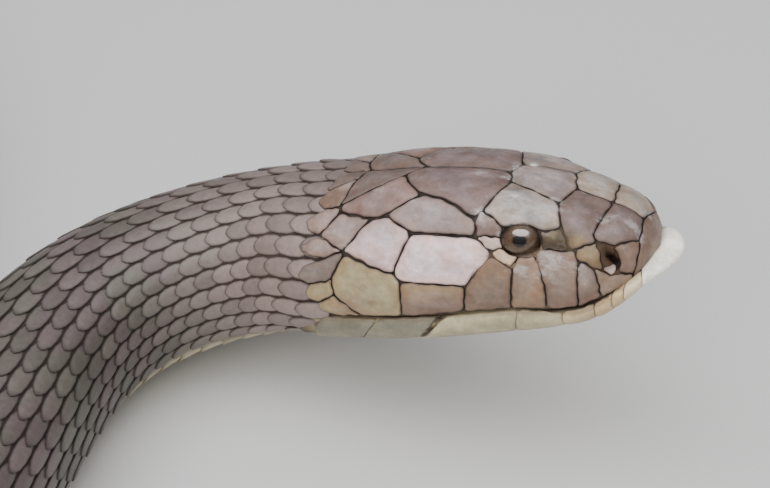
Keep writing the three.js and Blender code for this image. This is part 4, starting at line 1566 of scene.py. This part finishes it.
def eye_finish():
    """A wet dark eye: a brown iris with faint spokes round a black pupil."""
    finish = Finish("eye", Roughness=0.4, Specular_IOR_Level=0.1, Coat_Weight=1.0,
                    Coat_Roughness=0.04, Coat_IOR=1.45)
    off = finish.mark("off_axis")
    streaks = finish.noise(0.8, 5, 0.7)
    iris = finish.blend(finish.over(streaks, 0.3, 0.7), *IRIS)
    iris = finish.blend(finish.over(off, IRIS_EDGE - 10, IRIS_EDGE + 6), iris, IRIS_OUTER)
    ring = finish.over(off, PUPIL_EDGE + 5, PUPIL_EDGE + 1.5, 0, 0.75)
    iris = finish.blend(ring, iris, PUPIL_RING)
    pupil = finish.over(off, PUPIL_EDGE + 1.4, PUPIL_EDGE - 0.4)
    finish.colour(finish.blend(pupil, iris, PUPIL_BLACK))
    return finish.material


# Floor, light and camera

FLOOR_SIZE = 24
FLOOR_TONES = ((0.58, 0.575, 0.56), (0.62, 0.615, 0.60))
SKY_TINT = (0.86, 0.9, 1.0)
SKY_STRENGTH = 0.25


def make_stage():
    bpy.ops.mesh.primitive_grid_add(x_subdivisions=2, y_subdivisions=2, size=FLOOR_SIZE)
    floor = bpy.context.object
    floor.name = "floor"
    finish = Finish("floor", Roughness=0.75)
    finish.colour(finish.blend(finish.over(finish.noise(900, 2), 0.3, 0.7), *FLOOR_TONES))
    floor.data.materials.append(finish.material)
    world_light = bpy.data.worlds.new("studio")
    bpy.context.scene.world = world_light
    world_light.use_nodes = True
    sky = world_light.node_tree.nodes["Background"]
    sky.inputs["Color"].default_value = (*SKY_TINT, 1)
    sky.inputs["Strength"].default_value = SKY_STRENGTH


def add_lamp(name, place, aim, size, power, tint=(1, 1, 1), mirrored=True, only_on=()):
    """An area light. One that isn't mirrored lights the matt share of a surface only, and one
    that is only on some pieces shows only in their gloss."""
    bpy.ops.object.light_add(type="AREA", location=place)
    lamp = bpy.context.object
    lamp.name = name
    lamp.data.shape = "RECTANGLE"
    lamp.data.size, lamp.data.size_y = size
    lamp.data.energy = power
    lamp.data.color = tint
    lamp.visible_glossy = mirrored
    lamp.rotation_euler = (Vector(aim) - Vector(place)).to_track_quat("-Z", "Y").to_euler()
    if only_on:
        lamp.data.shape = "ELLIPSE"
        lamp.visible_diffuse = False
        lit = bpy.data.collections.new(name)
        for piece in only_on:
            lit.objects.link(piece)
        lamp.light_linking.receiver_collection = lit


VIEW_TURN = radians(22)  # the camera's heading, towards the front of the head
VIEW_DOWN = radians(33)
VIEW_DISTANCE = 420
PHOTO_WIDTH, PHOTO_HEIGHT = 770, 488
FOCAL_PIXELS = 1640
SNOUT_PIXEL = (661, 243.6)  # where the photo shows the tip of the snout
SNOUT_RISE = 5.5  # above the body line
SENSOR = 36


def make_camera():
    ahead = np.array([-np.sin(VIEW_TURN) * np.cos(VIEW_DOWN),
                      np.cos(VIEW_TURN) * np.cos(VIEW_DOWN), -np.sin(VIEW_DOWN)])
    right = np.array([np.cos(VIEW_TURN), np.sin(VIEW_TURN), 0])
    up = np.cross(right, ahead)
    across = (SNOUT_PIXEL[0] - PHOTO_WIDTH / 2) / FOCAL_PIXELS * VIEW_DISTANCE
    above = (PHOTO_HEIGHT / 2 - SNOUT_PIXEL[1]) / FOCAL_PIXELS * VIEW_DISTANCE
    snout = world(0, 0, SNOUT_RISE)
    place = snout - MM * (ahead * VIEW_DISTANCE + right * across + up * above)
    data = bpy.data.cameras.new("camera")
    data.lens = FOCAL_PIXELS * SENSOR / PHOTO_WIDTH
    data.sensor_width = SENSOR
    data.clip_start = 0.01
    data.clip_end = 60
    camera = bpy.data.objects.new("camera", data)
    bpy.context.collection.objects.link(camera)
    turned = Matrix([right, up, -ahead]).transposed().to_4x4()
    camera.matrix_world = Matrix.Translation(Vector(place)) @ turned
    bpy.context.scene.camera = camera
    return snout


def light_studio(snout, eyes):
    """Soft light from above, as under an even sky."""
    head = snout + MM * np.array([-45, 0, 10])
    add_lamp("sky_light", head + (0.155, -0.383, 1.44), head, (3.2, 2.3), 52, (0.97, 0.98, 1.0))
    add_lamp("side_light", head + (-0.15, -1.75, 0.75), head, (1.6, 1.0), 32, (1.0, 0.98, 0.96),
             mirrored=False)
    add_lamp("coil_light", (-0.6, -0.7, 2.2), (-0.1, 0, 0), (2.0, 2.0), 12, (1, 1, 1),
             mirrored=False)
    add_lamp("eye_light", head + (0, -0.18, 1.19), head, (2.2, 2.4), 190, (1.0, 0.97, 0.95),
             only_on=eyes)


# The animal, put together

def equal_lengths(name, start, end, count):
    step = (end - start) / count
    return [(f"{name}_{i + 1}", start + i * step, start + (i + 1) * step) for i in range(count)]


# Each length of the body with its first and last station
LENGTHS = [("neck", FIRST_SCALE, NECK_END),
           *equal_lengths("trunk", NECK_END, VENT, TRUNK_LENGTHS),
           *equal_lengths("tail", VENT, LENGTH, TAIL_LENGTHS)]
PAIRED_PLATES = ("tail_2", "tail_3")


def build():
    blank = shield_blank()
    head_shields = make_head_shields(blank)
    mark_wear(head_shields)
    mark_faint(head_shields)
    jaw_shields = make_jaw_shields(blank)
    bpy.data.objects.remove(blank[0])

    skin = make_skin()
    mark_faint(skin)
    dress(skin, skin_finish())
    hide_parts("head", "lower_jaw", *(name for name, _, _ in LENGTHS))
    dress(head_shields, shield_finish("head_shields"))
    dress(jaw_shields, shield_finish("jaw_shields", pale=True))

    scale = make_scale()
    plate = make_belly_plate()
    body = scale_finish("body_scales")
    belly = scale_finish("belly_plates")
    for name, start, end in LENGTHS:
        over = lay_body_scales(name + "_scales", scale, start, min(end, LAST_SCALE))
        dress(over, body)
        under = lay_belly_plates(name + "_belly", plate, max(start, PLATE_START),
                                 min(end, LAST_SCALE), 2 if name in PAIRED_PLATES else 1)
        dress(under, belly)
    dress(lay_gulars(scale), scale_finish("throat_scales"))
    bpy.data.objects.remove(scale)
    bpy.data.objects.remove(plate)

    wet = eye_finish()
    eyes = [make_eye(1), make_eye(-1)]
    for eye, node in zip(eyes, ("eye_left", "eye_right")):
        dress(eye, wet)
        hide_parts(node)
    return eyes


make_stage()
snout = make_camera()
light_studio(snout, build())
